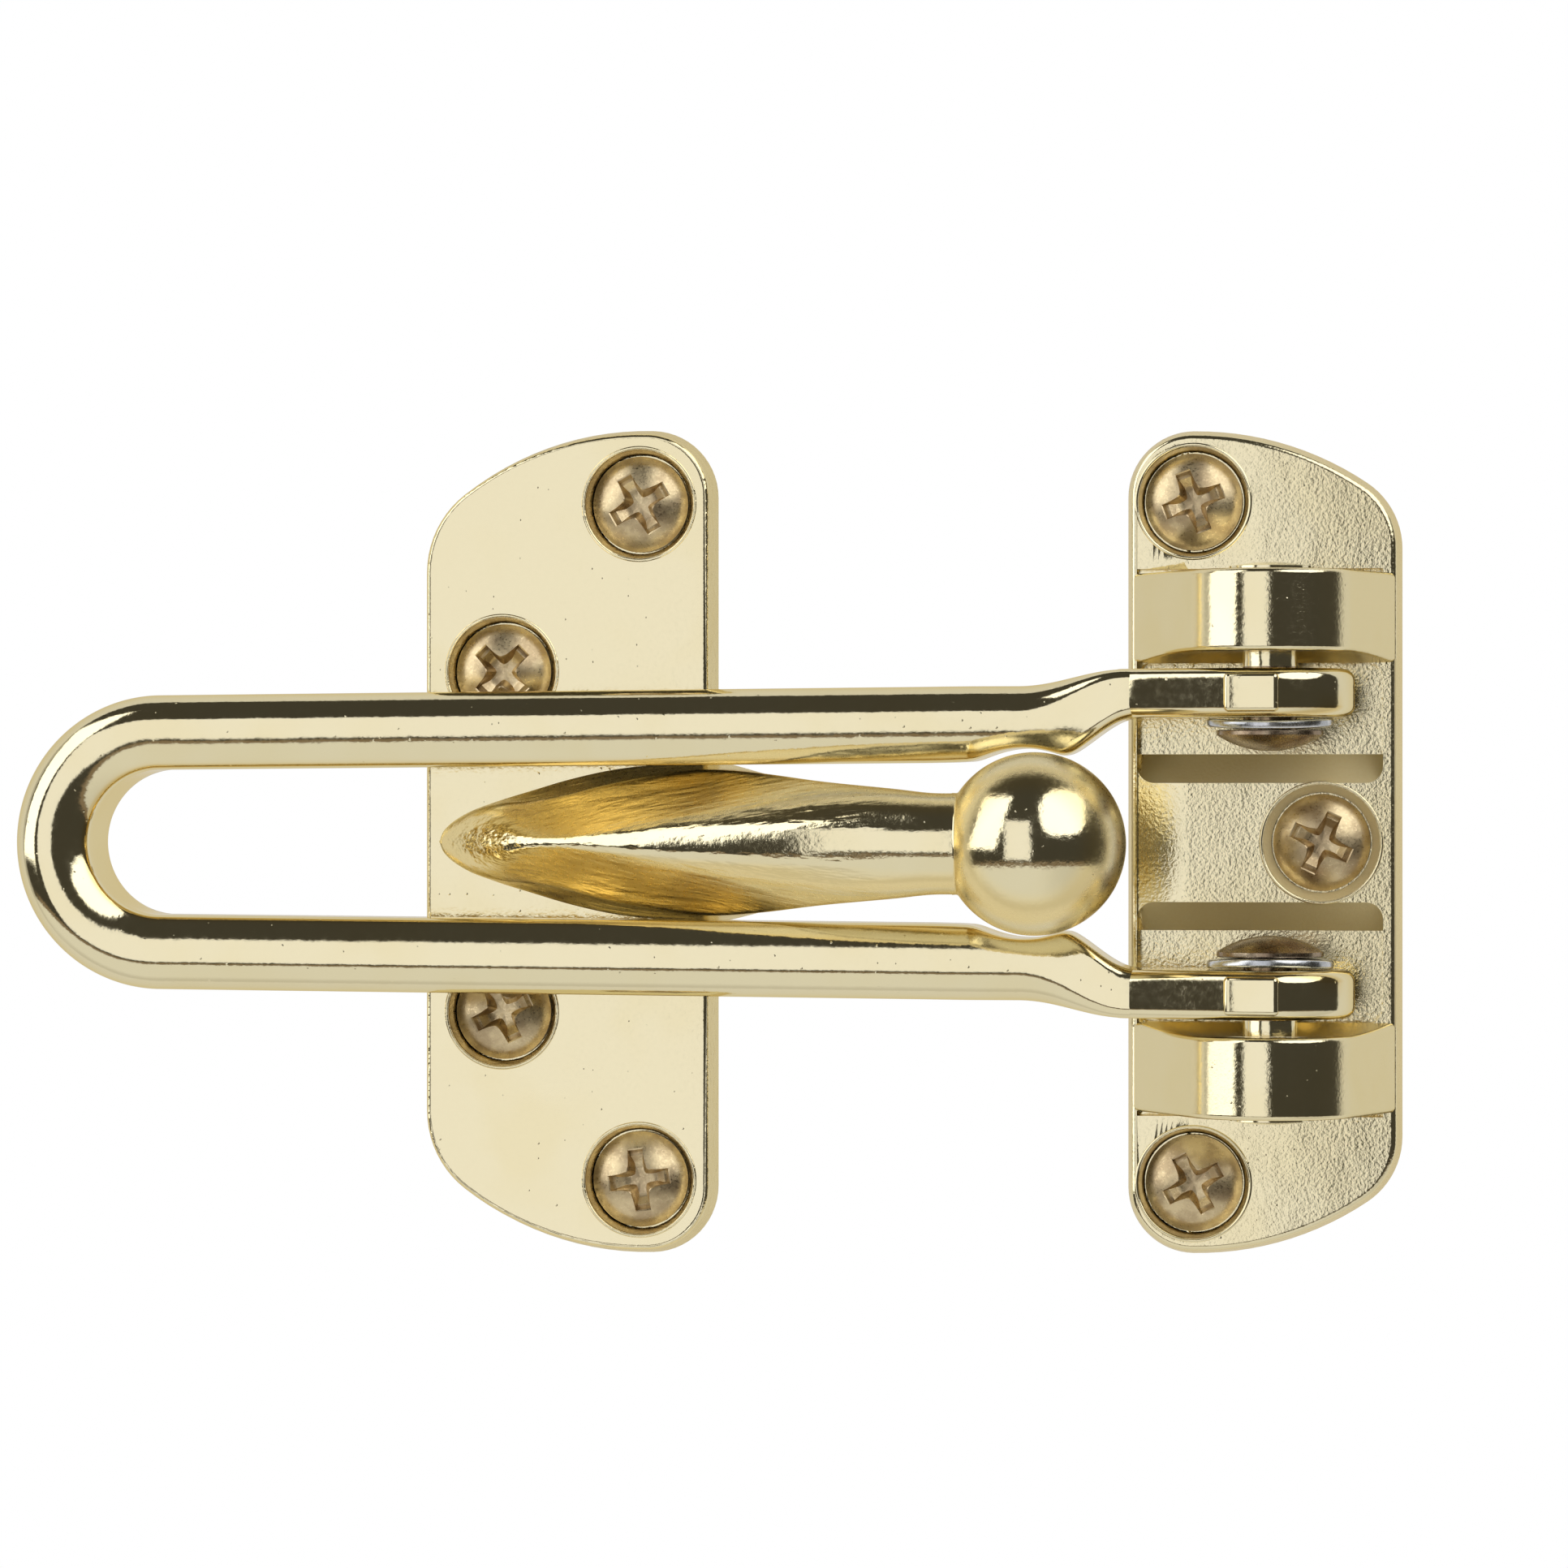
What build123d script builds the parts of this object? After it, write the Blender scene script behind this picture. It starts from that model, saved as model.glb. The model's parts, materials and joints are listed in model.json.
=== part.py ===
from build123d import *
import os
from math import acos, atan2, cos, hypot, pi, radians, sin, sqrt, tan

os.makedirs("parts", exist_ok=True)

# Swing bar door guard, in millimetres.
# +X runs along the bar from its loop to the hinge, +Y along the plates, +Z off the door.
# The origin is midway between the bracket's two ear screws, on the plane of the plates' backs.

# Plates, shared by both castings
PLATE_THICK = 3.2
SIDE_DRAFT = 8.0
EDGE_ROUND = 0.5
SCREW_HOLE_R = 2.3
RECESS_R = 4.5
RECESS_DEEP = 1.7
BACK_CORE_DEEP = 0.8
BACK_RIM = 1.5
CORE_BOSS_R = 5.2

# Hinge bracket
BRACKET_LEFT = 5.5
BRACKET_WIDE = 22.4
BRACKET_TALL = 67.4
BRACKET_CROWN_R = 25.0
BRACKET_CORNER_SMALL = 5.4
BRACKET_CORNER_LARGE = 6.5
EAR_SCREW_INSET = 5.9
MIDDLE_SCREW_X = 10.4
MIDDLE_RECESS_R = 4.75
EAR_INNER_Y = 22.3

# Hinge lugs and the pans sunk between them
PIN_X = 6.5
PIN_Z = 9.6
LUG_R = 7.0
LUG_INNER_Y = 15.4
LUG_THICK = 6.5
LUG_DRAFT = 1.0
LUG_EDGE_ROUND = 0.4
LUG_FOOT_INSET = 0.1
LUG_CORE_WIDE = 2.8
LUG_CORE_LONG = 11.0
LUG_CORE_TALL = 5.0
PAN_FLOOR_Z = 1.0
PAN_OUTER_Y = 14.75
PAN_RIM_LEFT = 0.9
PAN_RIM_RIGHT = 1.5
PAN_CORNER_R = 1.4
PAD_HALF = 4.85
PAN_SLOPE_RUN = 2.35

# Swing bar
BAR_LENGTH = 102.7
BAR_TALL = 7.6
SLOT_R = 5.95
ARM_WIDE = 6.1
SLOT_SPREAD = 0.55
ARM_SPREAD = 0.6
TOP_ROUND = 2.85
FOOT_ROUND = 0.7
JOG_START = 20.2
JOG_END = 11.2
JOG_LEAD = 4.0
JOG_STEPS = 8
SLOT_JOG_START = 18.0
SLOT_JOG_END = 10.4
EYE_R = 6.8
EYE_THICK = 3.9
EYE_OUTER_Y = 14.0
EYE_ROUND = 0.7
STOP_RISE = 0.7
STOP_FROM_DEG = 82.0
STOP_TO_DEG = 118.0
STOP_INSET = 0.45

# Rivets and spring washers
RIVET_R = 2.2
RIVET_RUNNING_GAP = 0.05
RIVET_HEAD_R = 4.3
RIVET_HEAD_TALL = 1.7
RIVET_HEAD_RIM = 0.4
RIVET_END_R = 3.3
RIVET_END_TALL = 0.7
WASHER_R = 5.1
WASHER_THICK = 0.45
WASHER_BOW_R = 30.0
WASHER_GAP = 0.05

# Ball keeper
KEEPER_WIDE = 24.4
KEEPER_TALL = 68.1
KEEPER_CROWN_R = 24.5
KEEPER_CORNER_SMALL = 5.6
KEEPER_CORNER_LARGE = 8.5
KEEPER_OUTER_INSET = 6.2
KEEPER_END_INSET = 6.2
KEEPER_INNER_INSET = 17.65
KEEPER_INNER_PITCH = 28.1
BALL_FROM_PIN = 18.4
BALL_BEYOND_PLATE = 27.55
BALL_CATCH = 1.35
BALL_OVER_BAR = 7.2
BALL_PASS_GAP = 0.3
NECK_R = 4.05
HORN_TIP_INSET = 1.5
HORN_SPREAD = 0.55
HORN_SINK = 1.6
NECK_SECTIONS = (1.1, 0.7, 0.3)

# Horn sections from its tip to the neck, as shares of the sizes above: place along the horn,
# half width, rise of the ridge, rise of the underside, how round it is, how deep its flutes are
HORN_SECTIONS = [
    (0.000, 0.11, 0.02, 0.00, 0.00, 0.0),
    (0.070, 0.42, 0.15, 0.00, 0.00, 0.3),
    (0.160, 0.70, 0.33, 0.00, 0.00, 0.8),
    (0.265, 0.90, 0.51, 0.00, 0.00, 1.0),
    (0.370, 0.98, 0.65, 0.00, 0.00, 1.0),
    (0.455, 1.00, 0.745, 0.00, 0.05, 1.0),
    (0.545, 0.90, 0.83, 0.40, 0.30, 0.7),
    (0.660, 0.77, 0.915, 0.76, 0.60, 0.35),
    (0.780, 0.67, 0.975, 0.94, 0.85, 0.1),
]
# Half a horn section between its lowest and highest points, as shares of half width and height:
# with full flutes, with none, and round
FLUTED = [(0.62, 0.0), (1.0, 0.12), (0.90, 0.34), (0.79, 0.62), (0.50, 0.58), (0.25, 0.84)]
PLAIN = [(0.62, 0.0), (1.0, 0.12), (0.96, 0.34), (0.88, 0.58), (0.70, 0.78), (0.40, 0.93)]
ROUND = [(sin(pi * k / 7), 0.5 - 0.5 * cos(pi * k / 7)) for k in range(1, 7)]

# Screws
SCREW_R = 2.0
SCREW_SHOULDER_R = 2.25
SCREW_LONG = 16.0
SCREW_POINT = 3.0
HEAD_R = 3.95
HEAD_TALL = 2.2
HEAD_RIM = 0.7
CROSS_SPAN = 4.7
CROSS_WIDE = 1.35
CROSS_DEEP = 1.5
KEEPER_CROSS_TURNS = (30.0, 45.0, 25.0, 8.0)
BRACKET_CROSS_TURNS = (20.0, 65.0, 28.0)

# Sizes and places worked out from the values above
LOOP_OUTER_R = SLOT_R + ARM_WIDE
BALL_R = SLOT_R + BALL_CATCH
HORN_HALF_WIDE = SLOT_R + HORN_SPREAD
EAR_SCREW_PITCH = BRACKET_TALL - 2 * EAR_SCREW_INSET
KEEPER_OUTER_PITCH = KEEPER_TALL - 2 * KEEPER_END_INSET
LUG_OUTER_Y = LUG_INNER_Y + LUG_THICK
EYE_INNER_Y = EYE_OUTER_Y - EYE_THICK
BALL_X = PIN_X - BALL_FROM_PIN
BALL_Z = PIN_Z + BALL_OVER_BAR
KEEPER_RIGHT = BALL_X - BALL_BEYOND_PLATE
KEEPER_LEFT = KEEPER_RIGHT - KEEPER_WIDE
BRACKET_RIGHT = BRACKET_WIDE - BRACKET_LEFT
BAR_BOTTOM = PIN_Z - BAR_TALL / 2
HEAD_SEAT_Z = PLATE_THICK - RECESS_DEEP


def facing(shape, direction):
    """The one face of a shape, turned over if need be so that it looks along direction."""
    face = shape.face()
    return face if face.normal_at().dot(Vector(*direction)) > 0 else -face


def dome(radius, rim, peak):
    """Arc of a dome that is centred on the Y axis, from its rim (radius, rim) to (0, peak)."""
    rise = abs(peak - rim)
    sphere_r = (radius**2 + rise**2) / (2 * rise)
    fall = sphere_r - sqrt(sphere_r**2 - (radius / 2) ** 2)
    half_way = peak - fall if peak > rim else peak + fall
    return ThreePointArc((radius, rim), (radius / 2, half_way), (0, peak))


def lens(across, along):
    """A point of the XZ plane as a vector at y = 0."""
    return Vector(across, 0, along)


def plate_face(left, right, tall, crown_r, crown_x, corners):
    """Plate outline: straight sides, and crowned ends that fall away from crown_x."""
    top = tall / 2

    def crown(x):
        return top - crown_r + sqrt(crown_r**2 - (x - crown_x) ** 2)

    mid = (left + right) / 2
    lower = ThreePointArc((left, -crown(left)), (mid, -crown(mid)), (right, -crown(right)))
    upper = ThreePointArc((right, crown(right)), (mid, crown(mid)), (left, crown(left)))
    face = make_face([lower, Line(lower @ 1, upper @ 0), upper, Line(upper @ 1, lower @ 0)])
    for place, radius in ((left, corners[0]), (right, corners[1])):
        ends = [v for v in face.vertices() if abs(v.X - place) < 0.01]
        face = fillet(ends, radius)
    return face


def screw_places():
    """Screw centres on the two plates, as (x, y), each plate's in its own list."""
    keeper = [
        (KEEPER_RIGHT - KEEPER_OUTER_INSET, KEEPER_OUTER_PITCH / 2),
        (KEEPER_RIGHT - KEEPER_INNER_INSET, KEEPER_INNER_PITCH / 2),
        (KEEPER_RIGHT - KEEPER_INNER_INSET, -KEEPER_INNER_PITCH / 2),
        (KEEPER_RIGHT - KEEPER_OUTER_INSET, -KEEPER_OUTER_PITCH / 2),
    ]
    bracket = [(0, EAR_SCREW_PITCH / 2), (MIDDLE_SCREW_X, 0), (0, -EAR_SCREW_PITCH / 2)]
    return keeper, bracket


def screw_seat(x, y, recess_r):
    """The recess and through hole that one screw sits in."""
    recess = Pos(x, y, HEAD_SEAT_Z) * Cylinder(
        recess_r, RECESS_DEEP + LUG_R, align=(Align.CENTER, Align.CENTER, Align.MIN)
    )
    hole = Pos(x, y, 0) * Cylinder(SCREW_HOLE_R, 4 * PLATE_THICK)
    return recess + hole


def drafted_plate(face):
    """A plate with leaning sides and a rounded upper edge."""
    body = extrude(facing(face, (0, 0, 1)), PLATE_THICK, taper=SIDE_DRAFT)
    return fillet(body.faces().sort_by(Axis.Z)[-1].edges(), EDGE_ROUND)


def lug_profile():
    """Side view of a lug: a barrel round the pin that runs out to both edges of the plate's top."""

    def touch(corner_x, side):
        dx, dz = corner_x - PIN_X, PLATE_THICK - PIN_Z
        angle = atan2(dz, dx) + side * acos(LUG_R / hypot(dx, dz))
        return PIN_X + LUG_R * cos(angle), PIN_Z + LUG_R * sin(angle)

    edge = PLATE_THICK * tan(radians(SIDE_DRAFT)) + EDGE_ROUND + LUG_FOOT_INSET
    foot_left, foot_right = edge - BRACKET_LEFT, BRACKET_RIGHT - edge
    left, right = touch(foot_left, -1), touch(foot_right, 1)
    root_z = PAN_FLOOR_Z
    return make_face([
        Polyline(lens(foot_left, root_z), lens(foot_left, PLATE_THICK), lens(*left)),
        ThreePointArc(lens(*left), lens(PIN_X, PIN_Z + LUG_R), lens(*right)),
        Polyline(lens(*right), lens(foot_right, PLATE_THICK), lens(foot_right, root_z)),
        Line(lens(foot_right, root_z), lens(foot_left, root_z)),
    ])


def lug():
    """One lug on the +Y side, leaning in from its mid plane, with its rivet hole."""
    profile = lug_profile()
    middle_y = LUG_INNER_Y + LUG_THICK / 2
    halves = [
        extrude(facing(Pos(0, middle_y, 0) * profile, (0, way, 0)), LUG_THICK / 2, taper=LUG_DRAFT)
        for way in (1, -1)
    ]
    body = halves[0] + halves[1]
    caps = [f for f in body.faces() if abs(f.normal_at().Y) > 0.99]
    crown = [e for f in caps for e in f.edges() if e.center().Z > PLATE_THICK]
    return fillet(crown, LUG_EDGE_ROUND)


def pan():
    """The hollow under one eye: flat floor, upright outer walls, sloping inner wall."""
    above = 2 * PLATE_THICK
    slope = PAN_SLOPE_RUN / (PLATE_THICK - PAN_FLOOR_Z)
    section = make_face(
        Polyline(
            (0, PAD_HALF + PAN_SLOPE_RUN, PAN_FLOOR_Z),
            (0, PAN_OUTER_Y, PAN_FLOOR_Z),
            (0, PAN_OUTER_Y, above),
            (0, PAD_HALF - slope * (above - PLATE_THICK), above),
            close=True,
        )
    )
    left, right = PAN_RIM_LEFT - BRACKET_LEFT, BRACKET_RIGHT - PAN_RIM_RIGHT
    trough = extrude(Pos(left, 0, 0) * section, right - left, dir=(1, 0, 0))
    span = PAN_OUTER_Y - PAD_HALF
    plan = Pos((left + right) / 2, PAD_HALF + span / 2, 0) * Box(right - left, span, 4 * above)
    return trough & fillet(plan.edges().filter_by(Axis.Z), PAN_CORNER_R)


def hinge_bracket():
    """Bracket casting: screw ears, middle pad, sunk pans and the two lugs."""
    face = plate_face(
        -BRACKET_LEFT, BRACKET_RIGHT, BRACKET_TALL, BRACKET_CROWN_R, 0.0,
        (BRACKET_CORNER_SMALL, BRACKET_CORNER_LARGE),
    )
    body = drafted_plate(face)
    inner_left, inner_right = PAN_RIM_LEFT - BRACKET_LEFT, BRACKET_RIGHT - PAN_RIM_RIGHT
    trench = Pos(inner_left, LUG_OUTER_Y, PAN_FLOOR_Z) * Box(
        inner_right - inner_left, EAR_INNER_Y - LUG_OUTER_Y, PLATE_THICK, align=Align.MIN
    )
    hollows = pan() + trench
    body -= [hollows, mirror_y(hollows)]
    one_lug = lug()
    body += [one_lug, mirror_y(one_lug)]
    core = Pos(PIN_X, LUG_INNER_Y + LUG_THICK / 2, 0) * Box(LUG_CORE_LONG, LUG_CORE_WIDE, 2 * LUG_CORE_TALL)
    core = fillet(core.edges().filter_by(Axis.Z), LUG_CORE_WIDE / 3)
    body -= [core, mirror_y(core), back_core(face, screw_places()[1], EAR_INNER_Y)]
    body -= Pos(PIN_X, 0, PIN_Z) * Rot(90, 0, 0) * Cylinder(RIVET_R, 4 * LUG_OUTER_Y)
    for x, y in screw_places()[1]:
        body -= screw_seat(x, y, RECESS_R if y else MIDDLE_RECESS_R)
    return body


def back_core(face, screws, from_y):
    """Shallow hollows in a plate's back, beyond from_y, with a rim and a boss round each screw."""
    box = face.bounding_box()
    inner = offset(face, -BACK_RIM)
    half = Pos(box.center().X, from_y) * Rectangle(box.size.X, box.size.Y, align=(Align.CENTER, Align.MIN))
    areas = [inner & half, inner & mirror_y(half)]
    core = [extrude(area, BACK_CORE_DEEP, dir=(0, 0, 1)) for area in areas]
    for x, y in screws:
        core = [c - Pos(x, y) * Cylinder(CORE_BOSS_R, 4 * BACK_CORE_DEEP) for c in core]
    return core[0] + core[1]


def keeper_plate():
    """Keeper casting: screw plate, fluted horn, round neck and ball in one."""
    face = plate_face(
        KEEPER_LEFT, KEEPER_RIGHT, KEEPER_TALL, KEEPER_CROWN_R, KEEPER_RIGHT - KEEPER_OUTER_INSET,
        (KEEPER_CORNER_LARGE, KEEPER_CORNER_SMALL),
    )
    body = drafted_plate(face)
    screws = screw_places()[0]
    body -= back_core(face, screws, HORN_HALF_WIDE + BACK_RIM)
    for x, y in screws:
        body -= screw_seat(x, y, RECESS_R)
    body += horn()
    return body + Pos(BALL_X, 0, BALL_Z) * Sphere(BALL_R)


def horn_section(place, width, rise, under, roundness, flute):
    """One closed section of the horn: a ridge, a flute each side of it, and a wing outside each flute."""
    tip = KEEPER_LEFT + HORN_TIP_INSET
    foot = PLATE_THICK - HORN_SINK
    top = PLATE_THICK + rise * (BALL_Z + NECK_R - PLATE_THICK)
    bottom = foot + under * (BALL_Z - NECK_R - foot)
    return ribbed_face(tip + place * (BALL_X - tip), width * HORN_HALF_WIDE, bottom, top, roundness, flute)


def ribbed_face(x, half, bottom, top, roundness, flute):
    """The face of a section, part way between its plain, fluted and round forms."""
    right = []
    for plain, fluted, turned in zip(PLAIN, FLUTED, ROUND):
        ribbed = [p + flute * (f - p) for p, f in zip(plain, fluted)]
        y, z = [r + roundness * (t - r) for r, t in zip(ribbed, turned)]
        right.append((half * y, bottom + (top - bottom) * z))
    points = [(0, bottom), *right, (0, top), *[(-y, z) for y, z in reversed(right)]]
    return make_face(Spline([(x, y, z) for y, z in points], periodic=True))


def horn():
    """Horn and neck, lofted through their sections to a round end inside the ball."""
    sections = [horn_section(*row) for row in HORN_SECTIONS]
    for back in NECK_SECTIONS:
        x = BALL_X - back * BALL_R
        sections.append(ribbed_face(x, NECK_R, BALL_Z - NECK_R, BALL_Z + NECK_R, 1.0, 0.0))
    return loft(sections)


def bar_section(x, inner_y, outer_y):
    """Section across one arm: flat foot, upright sides and a rounded back."""
    width = outer_y - inner_y
    top_round = min(TOP_ROUND, 0.47 * width)
    low, high = BAR_BOTTOM, BAR_BOTTOM + BAR_TALL
    face = make_face(
        Polyline((x, inner_y, low), (x, outer_y, low), (x, outer_y, high), (x, inner_y, high), close=True)
    )
    face = fillet([v for v in face.vertices() if v.Z > PIN_Z], top_round)
    return fillet([v for v in face.vertices() if abs(v.Z - low) < 0.001], FOOT_ROUND)


def eased(start, end, share):
    """A value that leaves start and reaches end gently, as share goes from 0 to 1."""
    bounded = min(max(share, 0.0), 1.0)
    return start + (end - start) * (1 - cos(pi * bounded)) / 2


def swing_bar():
    """Bar casting: a long loop with jogged arms, an eye on each arm and a stop lump on each eye."""
    loop_x = PIN_X - BAR_LENGTH + LOOP_OUTER_R
    arm_y, slot_y = LOOP_OUTER_R + ARM_SPREAD, SLOT_R + SLOT_SPREAD
    straight_end = PIN_X - JOG_START - JOG_LEAD
    first = bar_section(loop_x, SLOT_R, LOOP_OUTER_R)
    loop_axis = Axis((loop_x, 0, 0), (0, 0, 1))
    loop = revolve(first, loop_axis, revolution_arc=180)
    straight = loft([first, bar_section(straight_end, slot_y, arm_y)], ruled=True)
    jog = []
    for step in range(JOG_STEPS + 1):
        x = straight_end + (PIN_X - EYE_R / 2 - straight_end) * step / JOG_STEPS
        outer_share = (x - PIN_X + JOG_START) / (JOG_START - JOG_END)
        inner_share = (x - PIN_X + SLOT_JOG_START) / (SLOT_JOG_START - SLOT_JOG_END)
        outer_y = eased(arm_y, EYE_OUTER_Y, outer_share)
        inner_y = eased(slot_y, EYE_INNER_Y, inner_share)
        jog.append(bar_section(x, inner_y, outer_y))
    arm = straight + loft(jog) + eye()
    body = loop + [arm, mirror_y(arm)]
    body -= Pos(PIN_X, 0, PIN_Z) * Rot(90, 0, 0) * Cylinder(RIVET_R + RIVET_RUNNING_GAP, 4 * EYE_OUTER_Y)
    return body - ball_path()


def eye():
    """One hinge eye on the +Y side, run out to the arm, with its stop lump on top."""
    back_x = PIN_X - JOG_END
    low, high = (back_x, BAR_BOTTOM), (back_x, PIN_Z + BAR_TALL / 2)

    def touch(corner, side):
        dx, dz = corner[0] - PIN_X, corner[1] - PIN_Z
        angle = atan2(dz, dx) + side * acos(EYE_R / hypot(dx, dz))
        return PIN_X + EYE_R * cos(angle), PIN_Z + EYE_R * sin(angle)

    upper, lower = touch(high, -1), touch(low, 1)
    side_view = make_face([
        Line(lens(*low), lens(*high)),
        Line(lens(*high), lens(*upper)),
        ThreePointArc(lens(*upper), lens(PIN_X + EYE_R, PIN_Z), lens(*lower)),
        Line(lens(*lower), lens(*low)),
    ])
    disc = extrude(Pos(0, EYE_INNER_Y, 0) * side_view, EYE_THICK, dir=(0, 1, 0))
    rims = [e for e in disc.edges() if abs(e.tangent_at(0.5).Y) < 0.01 and e.center().X > back_x + 0.1]
    disc = fillet(rims, EYE_ROUND)
    return disc + stop_lump()


def stop_lump():
    """The raised lump on an eye, a short piece of ring that ends in a step."""
    outer_r, inner_r = EYE_R + STOP_RISE, EYE_R / 2
    start, end = radians(STOP_FROM_DEG), radians(STOP_TO_DEG)
    middle = (start + end) / 2

    def at(radius, angle):
        return lens(PIN_X + radius * cos(angle), PIN_Z + radius * sin(angle))

    side_view = make_face([
        Line(at(inner_r, start), at(outer_r, start)),
        ThreePointArc(at(outer_r, start), at(outer_r, middle), at(outer_r, end)),
        Line(at(outer_r, end), at(inner_r, end)),
        ThreePointArc(at(inner_r, end), at(inner_r, middle), at(inner_r, start)),
    ])
    thick = EYE_THICK - 2 * STOP_INSET
    lump = extrude(Pos(0, EYE_INNER_Y + STOP_INSET, 0) * side_view, thick, dir=(0, 1, 0))
    proud = [e for e in lump.edges() if hypot(e.center().X - PIN_X, e.center().Z - PIN_Z) > outer_r - 0.2]
    return fillet(proud, STOP_RISE / 2)


def ball_path():
    """The ring that the ball sweeps past the arms, with its clearance."""
    reach = hypot(BALL_FROM_PIN, BALL_OVER_BAR)
    return Pos(PIN_X, 0, PIN_Z) * Rot(90, 0, 0) * Torus(reach, BALL_R + BALL_PASS_GAP)


def rivet():
    """Pivot rivet on the +Y side: shank, domed inner head and peened outer end."""
    inner_head = EYE_INNER_Y - washer_room()
    end_y = LUG_OUTER_Y
    head_rim, head_peak = inner_head - RIVET_HEAD_RIM, inner_head - RIVET_HEAD_TALL
    end_peak = end_y + RIVET_END_TALL
    profile = make_face([
        Line((0, head_peak), (0, end_peak)),
        dome(RIVET_END_R, end_y, end_peak),
        Polyline((RIVET_END_R, end_y), (RIVET_R, end_y), (RIVET_R, inner_head), (RIVET_HEAD_R, inner_head)),
        Line((RIVET_HEAD_R, inner_head), (RIVET_HEAD_R, head_rim)),
        dome(RIVET_HEAD_R, head_rim, head_peak),
    ])
    turned = revolve(profile, Axis.Y)
    return Pos(PIN_X, 0, PIN_Z) * turned


def washer_room():
    """Room between the eye and the rivet head: the washer's bow, its thickness and a little air."""
    bow = WASHER_BOW_R - sqrt(WASHER_BOW_R**2 - WASHER_R**2)
    return bow + WASHER_THICK + 2 * WASHER_GAP


def spring_washer():
    """Bowed spring washer on the +Y side, between eye and rivet head."""
    near_head = EYE_INNER_Y - washer_room() + WASHER_GAP
    axis_y = near_head + WASHER_BOW_R
    shell = Cylinder(WASHER_BOW_R, 4 * WASHER_R) - Cylinder(WASHER_BOW_R - WASHER_THICK, 4 * WASHER_R)
    ring = Cylinder(WASHER_R, 4 * WASHER_R) - Cylinder(RIVET_R + 2 * WASHER_GAP, 4 * WASHER_R)
    bowed = (Pos(PIN_X, axis_y, PIN_Z) * shell) & (Pos(PIN_X, near_head, PIN_Z) * Rot(90, 0, 0) * ring)
    return bowed


def screw(x, y, turn):
    """Pan head wood screw with a cross recess, seated in its counterbore."""
    tip, shank_end = -SCREW_LONG, SCREW_POINT - SCREW_LONG
    profile = make_face([
        Polyline((0, HEAD_TALL), (0, tip), (SCREW_R, shank_end), (SCREW_R, -HEAD_SEAT_Z)),
        Polyline((SCREW_R, -HEAD_SEAT_Z), (SCREW_SHOULDER_R, -HEAD_SEAT_Z), (SCREW_SHOULDER_R, 0)),
        Polyline((SCREW_SHOULDER_R, 0), (HEAD_R, 0), (HEAD_R, HEAD_RIM)),
        dome(HEAD_R, HEAD_RIM, HEAD_TALL),
    ])
    body = revolve(Rot(90, 0, 0) * profile, Axis.Z)
    slot = Rectangle(CROSS_SPAN, CROSS_WIDE) + Rectangle(CROSS_WIDE, CROSS_SPAN)
    floor_share = 0.45
    floor = scale(slot, floor_share)
    cross = loft([Pos(0, 0, HEAD_TALL - CROSS_DEEP) * floor, Pos(0, 0, HEAD_TALL + 0.3) * slot], ruled=True)
    return Pos(x, y, HEAD_SEAT_Z) * Rot(0, 0, turn) * (body - cross)


def mirror_y(shape):
    """The same shape on the other side of the guard's middle plane."""
    return mirror(shape, about=Plane.XZ)


def nodes():
    """Every piece of the guard by name."""
    made = {
        "keeper_plate": keeper_plate(),
        "hinge_bracket": hinge_bracket(),
        "swing_bar": swing_bar(),
        "pivot_rivet_upper": rivet(),
        "pivot_rivet_lower": mirror_y(rivet()),
        "spring_washer_upper": spring_washer(),
        "spring_washer_lower": mirror_y(spring_washer()),
    }
    keeper, bracket = screw_places()
    for number, (place, turn) in enumerate(zip(keeper, KEEPER_CROSS_TURNS), 1):
        made[f"keeper_screw_{number}"] = screw(*place, turn)
    for number, (place, turn) in enumerate(zip(bracket, BRACKET_CROSS_TURNS), 1):
        made[f"bracket_screw_{number}"] = screw(*place, turn)
    return made


if __name__ == "__main__":
    for name, shape in nodes().items():
        shape.label = name
        export_step(shape, f"parts/{name}.step")
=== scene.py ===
import json
import logging
from dataclasses import dataclass, field
from enum import Enum
from math import asin, atan2, cos, hypot, pi, radians, sin, sqrt, tan
from typing import Any

import bmesh
import bpy
import numpy as np
from mathutils import Matrix, Vector

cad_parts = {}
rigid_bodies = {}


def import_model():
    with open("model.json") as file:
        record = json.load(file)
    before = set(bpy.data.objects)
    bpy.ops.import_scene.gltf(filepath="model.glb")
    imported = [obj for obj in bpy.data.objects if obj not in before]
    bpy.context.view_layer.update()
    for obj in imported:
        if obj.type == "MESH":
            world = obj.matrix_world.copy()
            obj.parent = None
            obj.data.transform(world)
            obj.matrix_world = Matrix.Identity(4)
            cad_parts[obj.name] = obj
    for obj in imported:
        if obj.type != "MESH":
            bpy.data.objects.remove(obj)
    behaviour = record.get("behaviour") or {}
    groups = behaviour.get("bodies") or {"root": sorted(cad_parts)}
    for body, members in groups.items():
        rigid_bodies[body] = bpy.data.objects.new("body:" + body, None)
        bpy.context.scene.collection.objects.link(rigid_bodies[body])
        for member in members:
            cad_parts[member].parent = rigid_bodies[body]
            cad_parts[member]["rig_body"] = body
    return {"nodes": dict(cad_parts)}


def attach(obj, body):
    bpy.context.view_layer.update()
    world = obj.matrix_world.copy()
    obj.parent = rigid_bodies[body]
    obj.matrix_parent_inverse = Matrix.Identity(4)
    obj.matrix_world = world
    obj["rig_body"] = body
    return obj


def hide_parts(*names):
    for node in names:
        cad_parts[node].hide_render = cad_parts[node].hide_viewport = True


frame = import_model()

# Swing bar door guard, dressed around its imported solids.
# Sizes are in millimetres until a mesh is made, which turns them into metres.
# +X runs along the bar from its loop to the hinge, +Y along the plates, +Z off the door.

LOG = logging.getLogger("door_guard")
MM = 0.001
Array = np.ndarray


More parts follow.
